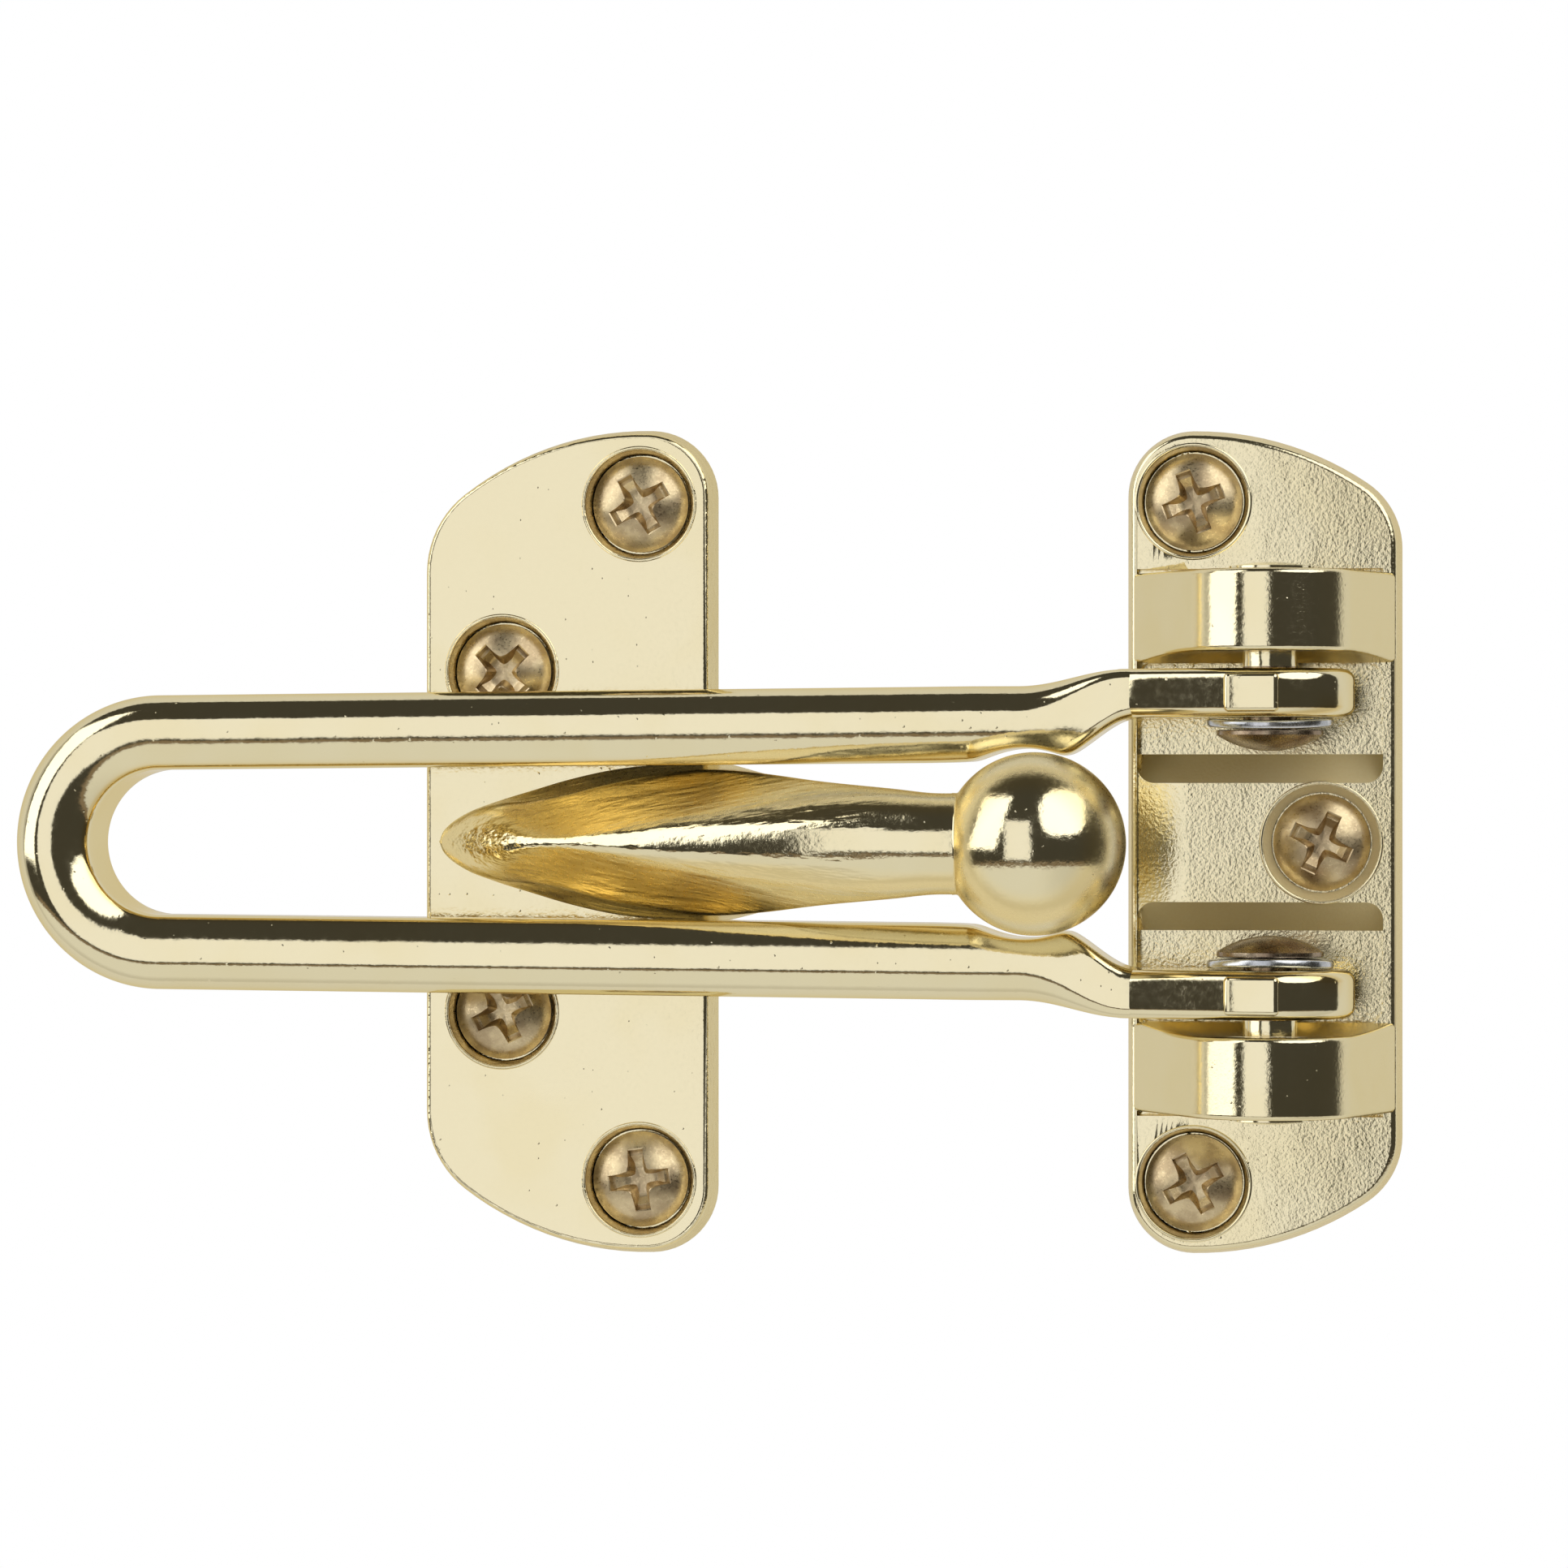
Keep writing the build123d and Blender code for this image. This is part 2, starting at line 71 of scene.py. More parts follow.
class Side(Enum):
    """The two arms' sides of the guard's middle plane, as the sign of Y."""

    UPPER = 1.0
    LOWER = -1.0


@dataclass(frozen=True)
class HingePin:
    """Where the hinge axis runs, along Y."""

    x: float = 6.5
    z: float = 9.6


PIN = HingePin()
PLATE_THICK = 3.2


# Surfaces


@dataclass
class Shell:
    """A closed surface in millimetres: its points and the four-cornered faces between them."""

    points: Array
    faces: Array

    @classmethod
    def over(cls, grid: Array) -> "Shell":
        """Lays faces over a grid of points whose last column meets its first.

        Args:
            grid: Points by row, column and axis.

        Returns:
            The shell, with a face for each four neighbours of the grid.
        """
        rows, columns = grid.shape[:2]
        row = np.arange(rows - 1)[:, None] * columns
        column = np.arange(columns)[None, :]
        beside = (column + 1) % columns
        after = row + columns
        corners = np.broadcast_arrays(row + column, row + beside, after + beside, after + column)
        return cls(grid.reshape(-1, 3), np.stack(corners, axis=-1).reshape(-1, 4))

    @classmethod
    def capped(cls, grid: Array) -> "Shell":
        """Lays faces over a grid, with both ends closed towards the mean of their points."""
        first, last = (np.broadcast_to(rim.mean(axis=0), rim.shape)[None] for rim in (grid[0], grid[-1]))
        return cls.over(np.concatenate([first, grid, last]))

    def moved(self, place: tuple[float, float, float]) -> "Shell":
        """The same shell, moved by place."""
        return Shell(self.points + np.array(place), self.faces)

    def placed(self, turn: float, place: tuple[float, float, float]) -> "Shell":
        """Turns the shell about Z by turn degrees, then moves it to place."""
        c, s = cos(radians(turn)), sin(radians(turn))
        spin = np.array([[c, s, 0.0], [-s, c, 0.0], [0.0, 0.0, 1.0]])
        return Shell(self.points @ spin + np.array(place), self.faces)

    def mirrored(self, side: Side) -> "Shell":
        """The same shell on one side of the middle plane: y times the side's sign."""
        return Shell(self.points * np.array([1.0, side.value, 1.0]), self.faces)


def arc(centre: tuple[float, float], radius: float, start: float, end: float, count: int) -> Array:
    """Points centre + radius · (cos a, sin a), with a from start up to but not at end, in degrees."""
    angle = np.radians(np.linspace(start, end, count, endpoint=False))
    return np.stack([centre[0] + radius * np.cos(angle), centre[1] + radius * np.sin(angle)], axis=-1)


def line(start: tuple[float, float], end: tuple[float, float], count: int) -> Array:
    """Points start + t · (end - start), with t from 0 up to but not at 1."""
    share = np.linspace(0, 1, count, endpoint=False)[:, None]
    return np.array(start) + share * (np.array(end) - np.array(start))


def smooth_step(start: float, end: float, value: Array) -> Array:
    """0 before start, 1 after end and 3t² - 2t³ between them."""
    t = np.clip((value - start) / (end - start), 0, 1)
    return t * t * (3 - 2 * t)


def eased(start: float, end: float, share: Array) -> Array:
    """start + (end - start) · (1 - cos πs) / 2, with s the share kept between 0 and 1."""
    return start + (end - start) * (1 - np.cos(pi * np.clip(share, 0, 1))) / 2


def through(knots: Array, values: Array, at: Array) -> Array:
    """Cubic curve through values: a Hermite cubic from knot to knot, with slopes from the neighbours.

    Args:
        knots: Rising places of the values.
        values: Values by knot, with any further axes.
        at: Places to work the curve out at.

    Returns:
        The curve's values, by place and the further axes.
    """
    slopes = np.gradient(values, knots, axis=0)
    i = np.clip(np.searchsorted(knots, at, side="right") - 1, 0, len(knots) - 2)
    spread = (slice(None),) + (None,) * (values.ndim - 1)
    gap = (knots[i + 1] - knots[i])[spread]
    t = (at - knots[i])[spread] / gap
    return (
        values[i] * (1 + 2 * t) * (1 - t) ** 2
        + values[i + 1] * t**2 * (3 - 2 * t)
        + slopes[i] * gap * t * (1 - t) ** 2
        + slopes[i + 1] * gap * t**2 * (t - 1)
    )


def turned(profile: Array, count: int, axis: str) -> Shell:
    """Turns (along, out) points about an axis: out · cos a and out · sin a across it.

    Args:
        profile: Points along the axis and out from it.
        count: Steps round the axis.
        axis: "x", "y" or "z".

    Returns:
        The turned shell.
    """
    angle = np.linspace(0, 2 * pi, count, endpoint=False)[None, :]
    along = np.repeat(profile[:, :1], count, axis=1)
    first, second = profile[:, 1:] * np.cos(angle), profile[:, 1:] * np.sin(angle)
    order = {"x": (along, first, second), "y": (second, along, first), "z": (first, second, along)}
    return Shell.over(np.stack(order[axis], axis=-1))


def low_dome(radius: float, rise: float, count: int) -> Array:
    """Points (fall, out) of a ball's cap from its peak to its rim: fall = s - √(s² - out²)."""
    ball_r = (radius**2 + rise**2) / (2 * rise)
    out = radius * np.sin(np.linspace(0, pi / 2, count))
    return np.stack([ball_r - np.sqrt(ball_r**2 - out**2), out], axis=-1)


def outward(rim: Array) -> Array:
    """Unit normals (dz, -dx) of a closed outline that runs anticlockwise."""
    run = np.roll(rim, -1, axis=0) - np.roll(rim, 1, axis=0)
    out = np.stack([run[:, 1], -run[:, 0]], axis=-1)
    return out / np.linalg.norm(out, axis=1, keepdims=True)


def carried(rim: Array, near: float, far: float, r: float) -> tuple[Array, Array]:
    """Carries an outline across with rounded edges: in by r(1 - sin b) and on by r(1 - cos b).

    Args:
        rim: A closed outline that runs anticlockwise.
        near: Where it starts.
        far: Where it ends.
        r: Radius of both edges.

    Returns:
        Outline points by level and place, and the levels.
    """
    turn = np.radians(np.linspace(0, 90, 8))
    inset = np.concatenate([r * (1 - np.sin(turn)), r * (1 - np.sin(turn[::-1]))])
    level = np.concatenate([near + r * (1 - np.cos(turn)), far - r * (1 - np.cos(turn[::-1]))])
    return rim[None] - inset[:, None, None] * outward(rim)[None], level


# Meshes


@dataclass
class Piece:
    """One visible piece: its name, what it stands for and what it is made of."""

    name: str
    node: str
    body: str
    slot: str
    finish: bpy.types.Material
    shells: list[Shell] = field(default_factory=list)
    casting: bmesh.types.BMesh | None = None
    sharp_deg: float = 38.0

    def build(self) -> bpy.types.Object:
        """Makes the mesh object, dresses it and has it ride on its body in its node's stead."""
        made = self.casting or bmesh.new()
        for shell in self.shells:
            part = bpy.data.meshes.new("shell")
            part.from_pydata((shell.points * MM).tolist(), [], shell.faces.tolist())
            made.from_mesh(part)
            bpy.data.meshes.remove(part)
        bmesh.ops.remove_doubles(made, verts=made.verts, dist=1e-7)
        bmesh.ops.recalc_face_normals(made, faces=made.faces)
        mesh = bpy.data.meshes.new(self.name)
        made.to_mesh(mesh)
        made.free()
        mesh.polygons.foreach_set("use_smooth", [True] * len(mesh.polygons))
        mesh.set_sharp_from_angle(angle=radians(self.sharp_deg))
        mesh.materials.append(self.finish)
        item = bpy.data.objects.new(self.name, mesh)
        bpy.context.scene.collection.objects.link(item)
        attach(item, self.body)
        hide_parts(self.node)
        LOG.info("%s: %d faces for %s on %s", self.name, len(mesh.polygons), self.node, self.body)
        return item


def merged_copy(node: str) -> bmesh.types.BMesh:
    """A copy of a solid's mesh with its loose triangles merged into one skin."""
    made = bmesh.new()
    made.from_mesh(frame["nodes"][node].data)
    bmesh.ops.remove_doubles(made, verts=made.verts, dist=2e-6)
    return made


def softened(item: bpy.types.Object, width: float) -> bpy.types.Object:
    """Rounds a casting's crisp edges by width millimetres and keeps its flats flat in shade."""
    edge = item.modifiers.new("cast_edges", "BEVEL")
    edge.width = width * MM
    edge.segments = 2
    edge.limit_method = "ANGLE"
    edge.angle_limit = radians(38)
    edge.use_clamp_overlap = True
    edge.harden_normals = False
    flats = item.modifiers.new("flat_shade", "WEIGHTED_NORMAL")
    flats.keep_sharp = True
    flats.weight = 60
    return item


# Finishes


class Graph:
    """Adds nodes to one node tree and joins them."""

    def __init__(self, tree: bpy.types.NodeTree) -> None:
        """Starts with an empty tree."""
        self.tree = tree
        tree.nodes.clear()

    def node(self, kind: str, inputs: dict[str | int, Any] | None = None, **options: Any) -> bpy.types.Node:
        """Adds one node.

        Args:
            kind: The node's type.
            inputs: Sockets to join, or plain values, by the input's name or number.
            options: The node's own options.

        Returns:
            The new node.
        """
        made = self.tree.nodes.new(kind)
        for name, value in options.items():
            setattr(made, name, value)
        for name, value in (inputs or {}).items():
            if isinstance(value, bpy.types.NodeSocket):
                self.tree.links.new(value, made.inputs[name])
            else:
                made.inputs[name].default_value = value
        return made

    def math(self, operation: str, *terms: Any) -> bpy.types.NodeSocket:
        """One operation, such as a sum or a product, on sockets or numbers."""
        return self.node("ShaderNodeMath", dict(enumerate(terms)), operation=operation).outputs[0]

    def vector(self, operation: str, first: Any, second: Any = None) -> bpy.types.NodeSocket:
        """One operation on vectors, which are sockets or numbers."""
        inputs = {0: first} if second is None else {0: first, 1: second}
        made = self.node("ShaderNodeVectorMath", inputs, operation=operation)
        return made.outputs["Value" if operation == "DOT_PRODUCT" else "Vector"]

    def parts(self, vector: Any) -> list[bpy.types.NodeSocket]:
        """The three parts of a vector."""
        return list(self.node("ShaderNodeSeparateXYZ", {0: vector}).outputs)

    def millimetres(self) -> bpy.types.NodeSocket:
        """A point's place in its own object, in millimetres."""
        place = self.node("ShaderNodeTexCoord").outputs["Object"]
        return self.node("ShaderNodeVectorMath", {0: place, "Scale": 1 / MM}, operation="SCALE").outputs[0]

    def seen_directly(self) -> bpy.types.NodeSocket:
        """1 for rays from the camera and through see-through things, 0 for the others."""
        path = self.node("ShaderNodeLightPath").outputs
        return self.math("MAXIMUM", path["Is Camera Ray"], path["Is Transmission Ray"])

    def metal(self, tint: Any, rough: Any, normal: Any) -> bpy.types.Node:
        """A metal skin, joined to the material's output."""
        inputs = {"Base Color": tint, "Metallic": 1.0, "Roughness": rough, "Normal": normal}
        skin = self.node("ShaderNodeBsdfPrincipled", inputs)
        self.node("ShaderNodeOutputMaterial", {"Surface": skin.outputs[0]})
        return skin

    def step(
        self, value: Any, start: float, end: float, low: float = 0.0, high: float = 1.0,
    ) -> bpy.types.NodeSocket:
        """low before start, high after end and a smooth step between them."""
        inputs = {"Value": value, "From Min": start, "From Max": end, "To Min": low, "To Max": high}
        made = self.node("ShaderNodeMapRange", inputs, interpolation_type="SMOOTHSTEP")
        return made.outputs["Result"]

    def within(self, value: Any, low: float, high: float, soft: float) -> bpy.types.NodeSocket:
        """1 between low and high, 0 outside them, with soft edges."""
        rising = self.step(value, low - soft, low + soft)
        falling = self.step(value, high - soft, high + soft, 1.0, 0.0)
        return self.math("MULTIPLY", rising, falling)

    def blend(self, share: Any, first: Any, second: Any) -> bpy.types.NodeSocket:
        """A colour that goes from first to second with share."""
        made = self.node("ShaderNodeMix", {0: share}, data_type="RGBA")
        for socket, value in ((made.inputs[6], first), (made.inputs[7], second)):
            if isinstance(value, bpy.types.NodeSocket):
                self.tree.links.new(value, socket)
            else:
                socket.default_value = (*value, 1.0)
        return made.outputs[2]

    def noise(self, place: Any, size: float, detail: float) -> bpy.types.NodeSocket:
        """Cloudy noise whose features are about size millimetres across."""
        inputs = {"Vector": place, "Scale": 1 / size, "Detail": detail, "Roughness": 0.55}
        return self.node("ShaderNodeTexNoise", inputs).outputs[0]

    def relief(self, height: Any, depth: float, normal: Any = None) -> bpy.types.NodeSocket:
        """A normal that is tipped by a height from 0 to 1, depth millimetres high."""
        inputs: dict[str | int, Any] = {"Height": height, "Strength": 1.0, "Distance": depth * MM}
        if normal is not None:
            inputs["Normal"] = normal
        return self.node("ShaderNodeBump", inputs).outputs[0]


def blank_finish(name: str) -> tuple[bpy.types.Material, Graph]:
    """A new material and its empty graph."""
    made = bpy.data.materials.new(name)
    made.use_nodes = True
    return made, Graph(made.node_tree)


@dataclass(frozen=True)
class PlatedFinish:
    """Polished plate on a casting: a tint, a painted reflection of deeper gold on steep faces, an
    orange-peel skin, waves and pits.
    """

    name: str
    tint: tuple[float, float, float] = (0.87, 0.785, 0.53)
    warm_tint: tuple[float, float, float] = (0.82, 0.69, 0.36)
    warm_share: float = 0.22
    # painted reflection: a deeper gold on steep faces, standing in for light bounced between gold faces
    painted_reflection_tint: tuple[float, float, float] = (0.80, 0.61, 0.26)
    painted_reflection_share: float = 0.6
    steep_rough: float = 0.03
    steep_from: float = 0.50
    steep_to: float = 0.80
    steep_soft: float = 0.08
    slope_from: float = 0.90
    slope_to: float = 0.97
    edge_tint: tuple[float, float, float] = (0.92, 0.82, 0.58)
    peel_from: float = -100.0
    peel_to: float = -90.0
    peel_least: float = 1.0
    roughness: float = 0.075
    peel_size: float = 0.42
    peel_deep: float = 0.0035
    wave_size: float = 3.4
    wave_deep: float = 0.014
    pit_size: float = 0.75
    pit_deep: float = 0.012
    pit_share: float = 0.80
    inside_y: float = -1.0
    inside_rough: float = 0.0
    streak_size: float = 0.8
    streak_deep: float = 0.0
    streak_squeeze: float = 0.12
    streak_fade: float = 4.0
    streak_to: float = -22.0
    slot_end_x: float | None = None

    def build(self) -> bpy.types.Material:
        """Makes the material: tint by slow noise, a painted reflection by slope, roughness by fine noise,
        relief by noises.

        The orange peel grows with x from its least share at peel_from to all of it at peel_to, and is
        whole where |y| is under inside_y. There steep faces are rougher. Streaks run along x on slopes
        up to streak_to. Steep faces get a painted reflection: a deeper gold tint that stands in for light
        bounced between the gold faces. With a slot_end_x, only faces that look into the bar's slot have
        this painted reflection. How steep a face is goes by the upright part of its normal, which is 1 on a
        level face.
        """
        made, graph = blank_finish(self.name)
        grid = graph.millimetres()
        along, across = graph.parts(grid)[:2]
        tilt = graph.parts(graph.node("ShaderNodeTexCoord").outputs["Normal"])
        upright = graph.math("ABSOLUTE", tilt[2])
        steep = graph.within(upright, self.steep_from, self.steep_to, self.steep_soft)
        wide = graph.math("ABSOLUTE", across)
        inside = graph.step(wide, self.inside_y - 0.2, self.inside_y + 0.2, 1.0, 0.0)
        wave = graph.noise(grid, self.wave_size, 2.0)
        grown = graph.step(along, self.peel_from, self.peel_to, self.peel_least, 1.0)
        grown = graph.math("MAXIMUM", grown, inside)
        peel = graph.noise(grid, self.peel_size, 3.0)
        pits = graph.node("ShaderNodeTexVoronoi", {"Vector": grid, "Scale": 1 / self.pit_size})
        deep = graph.step(pits.outputs["Distance"], 0.02, 0.16, 1.0, 0.0)
        chance = graph.node("ShaderNodeSeparateColor", {0: pits.outputs["Color"]}).outputs[0]
        chosen = graph.math("GREATER_THAN", chance, self.pit_share)
        normal = graph.relief(wave, self.wave_deep)
        normal = graph.relief(graph.math("MULTIPLY", peel, grown), self.peel_deep, normal)
        normal = graph.relief(graph.math("MULTIPLY", deep, chosen), self.pit_deep, normal)
        if self.streak_deep:
            long = graph.vector("MULTIPLY", grid, (self.streak_squeeze, 1.0, 1.0))
            sloped = graph.step(upright, self.slope_from, self.slope_to, 1.0, 0.0)
            west = graph.step(along, self.streak_to - self.streak_fade, self.streak_to, 1.0, 0.0)
            sloped = graph.math("MULTIPLY", sloped, west)
            streak = graph.math("MULTIPLY", graph.noise(long, self.streak_size, 2.0), sloped)
            normal = graph.relief(streak, self.streak_deep, normal)
        slow = graph.noise(grid, 9.0, 2.0)
        warm = graph.step(slow, 0.42, 0.68, 0.0, self.warm_share)
        tint = graph.blend(warm, self.tint, self.warm_tint)
        # mask of the painted reflection: steep faces, cut to those that look into the bar's slot when
        # slot_end_x is given
        reflection_mask = steep
        if self.slot_end_x is not None:
            past = graph.math("MINIMUM", graph.math("SUBTRACT", along, self.slot_end_x), 0.0)
            faced = graph.math("MULTIPLY_ADD", past, tilt[0], graph.math("MULTIPLY", across, tilt[1]))
            reflection_mask = graph.math("MULTIPLY", steep, graph.step(faced, -1.5, 0.5, 1.0, 0.0))
        # painted reflection: steep faces blended towards a deeper gold that stands in for light bounced
        # between gold faces
        tint = graph.blend(graph.math("MULTIPLY", reflection_mask, self.painted_reflection_share), tint, self.painted_reflection_tint)
        rough = graph.step(peel, 0.3, 0.75, 0.7 * self.roughness, 1.5 * self.roughness)
        less = graph.step(upright, 0.55, 0.85, self.steep_rough, 0.0)
        more = graph.math("MULTIPLY", graph.math("MULTIPLY", inside, steep), self.inside_rough)
        rough = graph.math("ADD", graph.math("ADD", rough, less), more)
        skin = graph.metal(tint, rough, normal)
        skin.inputs["Specular Tint"].default_value = (*self.edge_tint, 1.0)
        return made


@dataclass(frozen=True)
class BarrelledFinish:
    """Tumbled metal without polish, on rivets, washers and screws: two tints, a fine grain and dents."""

    name: str
    tint: tuple[float, float, float]
    dark_tint: tuple[float, float, float]
    roughness: float
    grain_size: float = 0.16
    grain_deep: float = 0.0035
    dent_size: float = 0.9
    dent_deep: float = 0.02
    outer_tint: tuple[float, float, float] | None = None
    outer_from: float = 14.2
    outer_rough_share: float = 0.4
    stain_size: float = 1.8

    def build(self) -> bpy.types.Material:
        """Makes the material: tints mixed by noise, roughness and relief by a finer one.

        Where the finish has an outer tint, that takes over beyond |y| = outer_from.
        """
        made, graph = blank_finish(self.name)
        grid = graph.millimetres()
        grain = graph.noise(grid, self.grain_size, 3.0)
        dents = graph.noise(grid, self.dent_size, 2.0)
        normal = graph.relief(dents, self.dent_deep)
        normal = graph.relief(grain, self.grain_deep, normal)
        light_share = graph.step(graph.noise(grid, self.stain_size, 4.0), 0.35, 0.65)
        tint = graph.blend(light_share, self.dark_tint, self.tint)
        rough = graph.step(grain, 0.25, 0.75, 0.75 * self.roughness, 1.35 * self.roughness)
        if self.outer_tint:
            across = graph.math("ABSOLUTE", graph.parts(grid)[1])
            outer = graph.step(across, self.outer_from - 0.05, self.outer_from + 0.05)
            tint = graph.blend(outer, tint, self.outer_tint)
            rough = graph.math("MULTIPLY", rough, graph.step(outer, 0.0, 1.0, 1.0, self.outer_rough_share))
        graph.metal(tint, rough, normal)
        return made


# Swing bar


@dataclass
class SwingBar:
    """The looped bar: a long slot between two jogged arms, with an eye and a stop lump on each arm."""

    length: float = 102.7
    slot_r: float = 5.95
    arm_wide: float = 6.1
    slot_spread: float = 0.55
    arm_spread: float = 0.6
    tall: float = 7.6
    foot_z: float = 5.8
    outer_round: float = 2.75
    inner_round: float = 5.0
    crest_out: float = 0.3
    arris: float = 1.1
    foot_round: float = 0.7
    tab_round: float = 0.9
    jog_start: float = 20.2
    jog_end: float = 11.2
    jog_lead: float = 4.0
    slot_jog_start: float = 18.0
    slot_jog_end: float = 10.4
    eye_r: float = 6.8
    eye_thick: float = 3.9
    eye_outer_y: float = 14.0
    eye_round: float = 0.95
    hole_r: float = 2.25
    stop_span: tuple[float, float] = (-3.4, 0.98)
    stop_crest: tuple[float, float] = (1.9, 7.5)
    stop_r: float = 17.8
    stop_inset: float = 0.4
    stop_round: float = 0.38
    eye_lead: float = 1.7
    corner_power: float = 16.0
    ball_reach: float = 19.76
    ball_room: float = 7.6
    ball_soft: float = 0.4
    arm_drop: float = 0.3
    within_eye: float = 0.03
    loop_draft: float = 0.55
    arm_end: float = 2.5
    tab_lag: float = 0.8

    @property
    def loop_x(self) -> float:
        """Where the middle of the loop's two circles is."""
        return PIN.x - self.length + self.slot_r + self.arm_wide

    def foot(self, half: float) -> list[Array]:
        """A section's foot from its outer side to its inner one: a round, a flat and a round."""
        r = self.foot_round
        return [
            arc((half - r, r), r, 0, -90, 6),
            line((half - r, 0), (r - half, 0), 5),
            arc((r - half, r), r, 270, 180, 6),
        ]

    def bar_profile(self) -> Array:
        """Section of an arm, outward and upward from its foot's middle.

        The back is a quarter round on the outer side and a shallow arc on the inner side. The arc
        ends in a small arris, whose slope s has (inner_round - arris) · sin s + arris = half + crest.
        """
        half, crest, top = self.arm_wide / 2, self.crest_out, self.tall
        slope = asin((half + crest - self.arris) / (self.inner_round - self.arris))
        reach = self.inner_round - self.arris
        low_z = top - self.inner_round
        arris_at = (crest - reach * sin(slope), low_z + reach * cos(slope))
        slope_deg = np.degrees(slope)
        return np.concatenate([
            line((-half, self.foot_round), (-half, arris_at[1]), 6),
            arc(arris_at, self.arris, 180, 90 + slope_deg, 8),
            arc((crest, low_z), self.inner_round, 90 + slope_deg, 90, 18),
            arc((crest, top - self.outer_round), self.outer_round, 90, 0, 20),
            line((half, top - self.outer_round), (half, self.foot_round), 4),
            *self.foot(half),
        ])

    def tab_profile(self) -> Array:
        """Section of an arm next to its eye: upright sides and a flat back between two rounds."""
        half, top, r = self.eye_thick / 2, self.tall, self.tab_round
        return np.concatenate([
            line((-half, self.foot_round), (-half, top - r), 6),
            arc((r - half, top - r), r, 180, 90, 8),
            line((r - half, top), (half - r, top), 18),
            arc((half - r, top - r), r, 90, 0, 20),
            line((half, top - r), (half, self.foot_round), 4),
            *self.foot(half),
        ])

    def edge_lines(self) -> tuple[Array, Array, Array]:
        """The bar's inner and outer edges from the upper eye round the loop to the lower eye.

        An arm's edges drift apart in step with x and jog outward with an eased step. In the loop both
        are circles about its middle.

        Returns:
            Inner points, outer points, and how far each section is from an arm's to a tab's.
        """
        loop_x = self.loop_x
        straight_end = PIN.x - self.jog_start - self.jog_lead
        near = np.linspace(PIN.x - self.arm_end, straight_end, 130, endpoint=False)
        far = np.linspace(straight_end, loop_x, 60, endpoint=False)
        x = np.concatenate([near, far])
        share = np.clip((x - loop_x) / (straight_end - loop_x), 0, 1)
        arm_y = self.slot_r + self.arm_wide + self.arm_spread * share
        slot_y = self.slot_r + self.slot_spread * share
        outer_share = (x - PIN.x + self.jog_start) / (self.jog_start - self.jog_end)
        inner_share = (x - PIN.x + self.slot_jog_start) / (self.slot_jog_start - self.slot_jog_end)
        eye_out = self.eye_outer_y - self.within_eye
        eye_in = self.eye_outer_y - self.eye_thick + self.within_eye
        outer_y = arm_y + eased(0, 1, outer_share) * (eye_out - arm_y)
        inner_y = slot_y + eased(0, 1, inner_share) * (eye_in - slot_y)
        tabbed = smooth_step(PIN.x - self.jog_start, PIN.x - self.jog_end - self.tab_lag, x)
        angle = np.radians(np.linspace(90, 270, 121))[:, None]
        ring = np.concatenate([np.cos(angle), np.sin(angle)], axis=1)
        loop_in = np.array([loop_x, 0]) + self.slot_r * ring
        loop_out = np.array([loop_x, 0]) + (self.slot_r + self.arm_wide) * ring
        arm_in, arm_out = np.stack([x, inner_y], axis=-1), np.stack([x, outer_y], axis=-1)
        flip = np.array([1.0, -1.0])
        inner = np.concatenate([arm_in, loop_in, arm_in[::-1] * flip])
        outer = np.concatenate([arm_out, loop_out, arm_out[::-1] * flip])
        return inner, outer, np.concatenate([tabbed, np.zeros(len(angle)), tabbed[::-1]])

    def sweep(self) -> Shell:
        """The arms and loop: middle + across · (outer - inner) / 2 in plan, with the profile's height.

        The height is eased down by arm_drop away from the eyes. The loop's inner wall leans in by
        draft · (1 - height / tall) · -cos a at its foot, with a the angle round the loop.
        """
        inner, outer, tabbed = self.edge_lines()
        bar, tab = self.bar_profile(), self.tab_profile()
        bar_share, tab_share = bar[:, 0] / (self.arm_wide / 2), tab[:, 0] / (self.eye_thick / 2)
        mix = tabbed[:, None]
        across = (1 - mix) * bar_share + mix * tab_share
        height = (1 - mix) * bar[:, 1] + mix * tab[:, 1]
        middle, half = (inner + outer) / 2, (outer - inner) / 2
        risen = eased(0, 1, (middle[:, :1] - PIN.x + self.jog_start) / (self.jog_start - self.jog_end))
        height = height * (1 - self.arm_drop * (1 - risen) / self.tall)
        west = np.clip((self.loop_x - middle[:, :1]) / (self.slot_r + self.arm_wide / 2), 0, 1)
        lean = self.loop_draft / (self.arm_wide / 2) * west * np.clip(1 - height / self.tall, 0, 1)
        across = across - lean * np.clip(-across, 0, 1)
        plan = middle[:, None, :] + across[..., None] * half[:, None, :]
        grid = np.concatenate([plan, self.foot_z + height[..., None]], axis=-1)
        return Shell.capped(self.hollowed(grid))

    def hollowed(self, grid: Array) -> Array:
        """Moves the arms' inner sides out of the ball's path, where |y| is under √(room² - (q - reach)²).

        Here q is a point's distance from the hinge axis. With m that least |y|, the new one is
        (|y| + m + √((|y| - m)² + soft²)) / 2, which eases from one to the other.
        """
        q = np.hypot(grid[..., 0] - PIN.x, grid[..., 2] - PIN.z)
        least = np.sqrt(np.clip(self.ball_room**2 - (q - self.ball_reach) ** 2, 0, None))
        y = grid[..., 1]
        wide = np.abs(y)
        eased_y = (wide + least + np.sqrt((wide - least) ** 2 + self.ball_soft**2)) / 2
        moved = grid.copy()
        moved[..., 1] = np.where(least > 0, np.sign(y) * eased_y, y)
        return moved

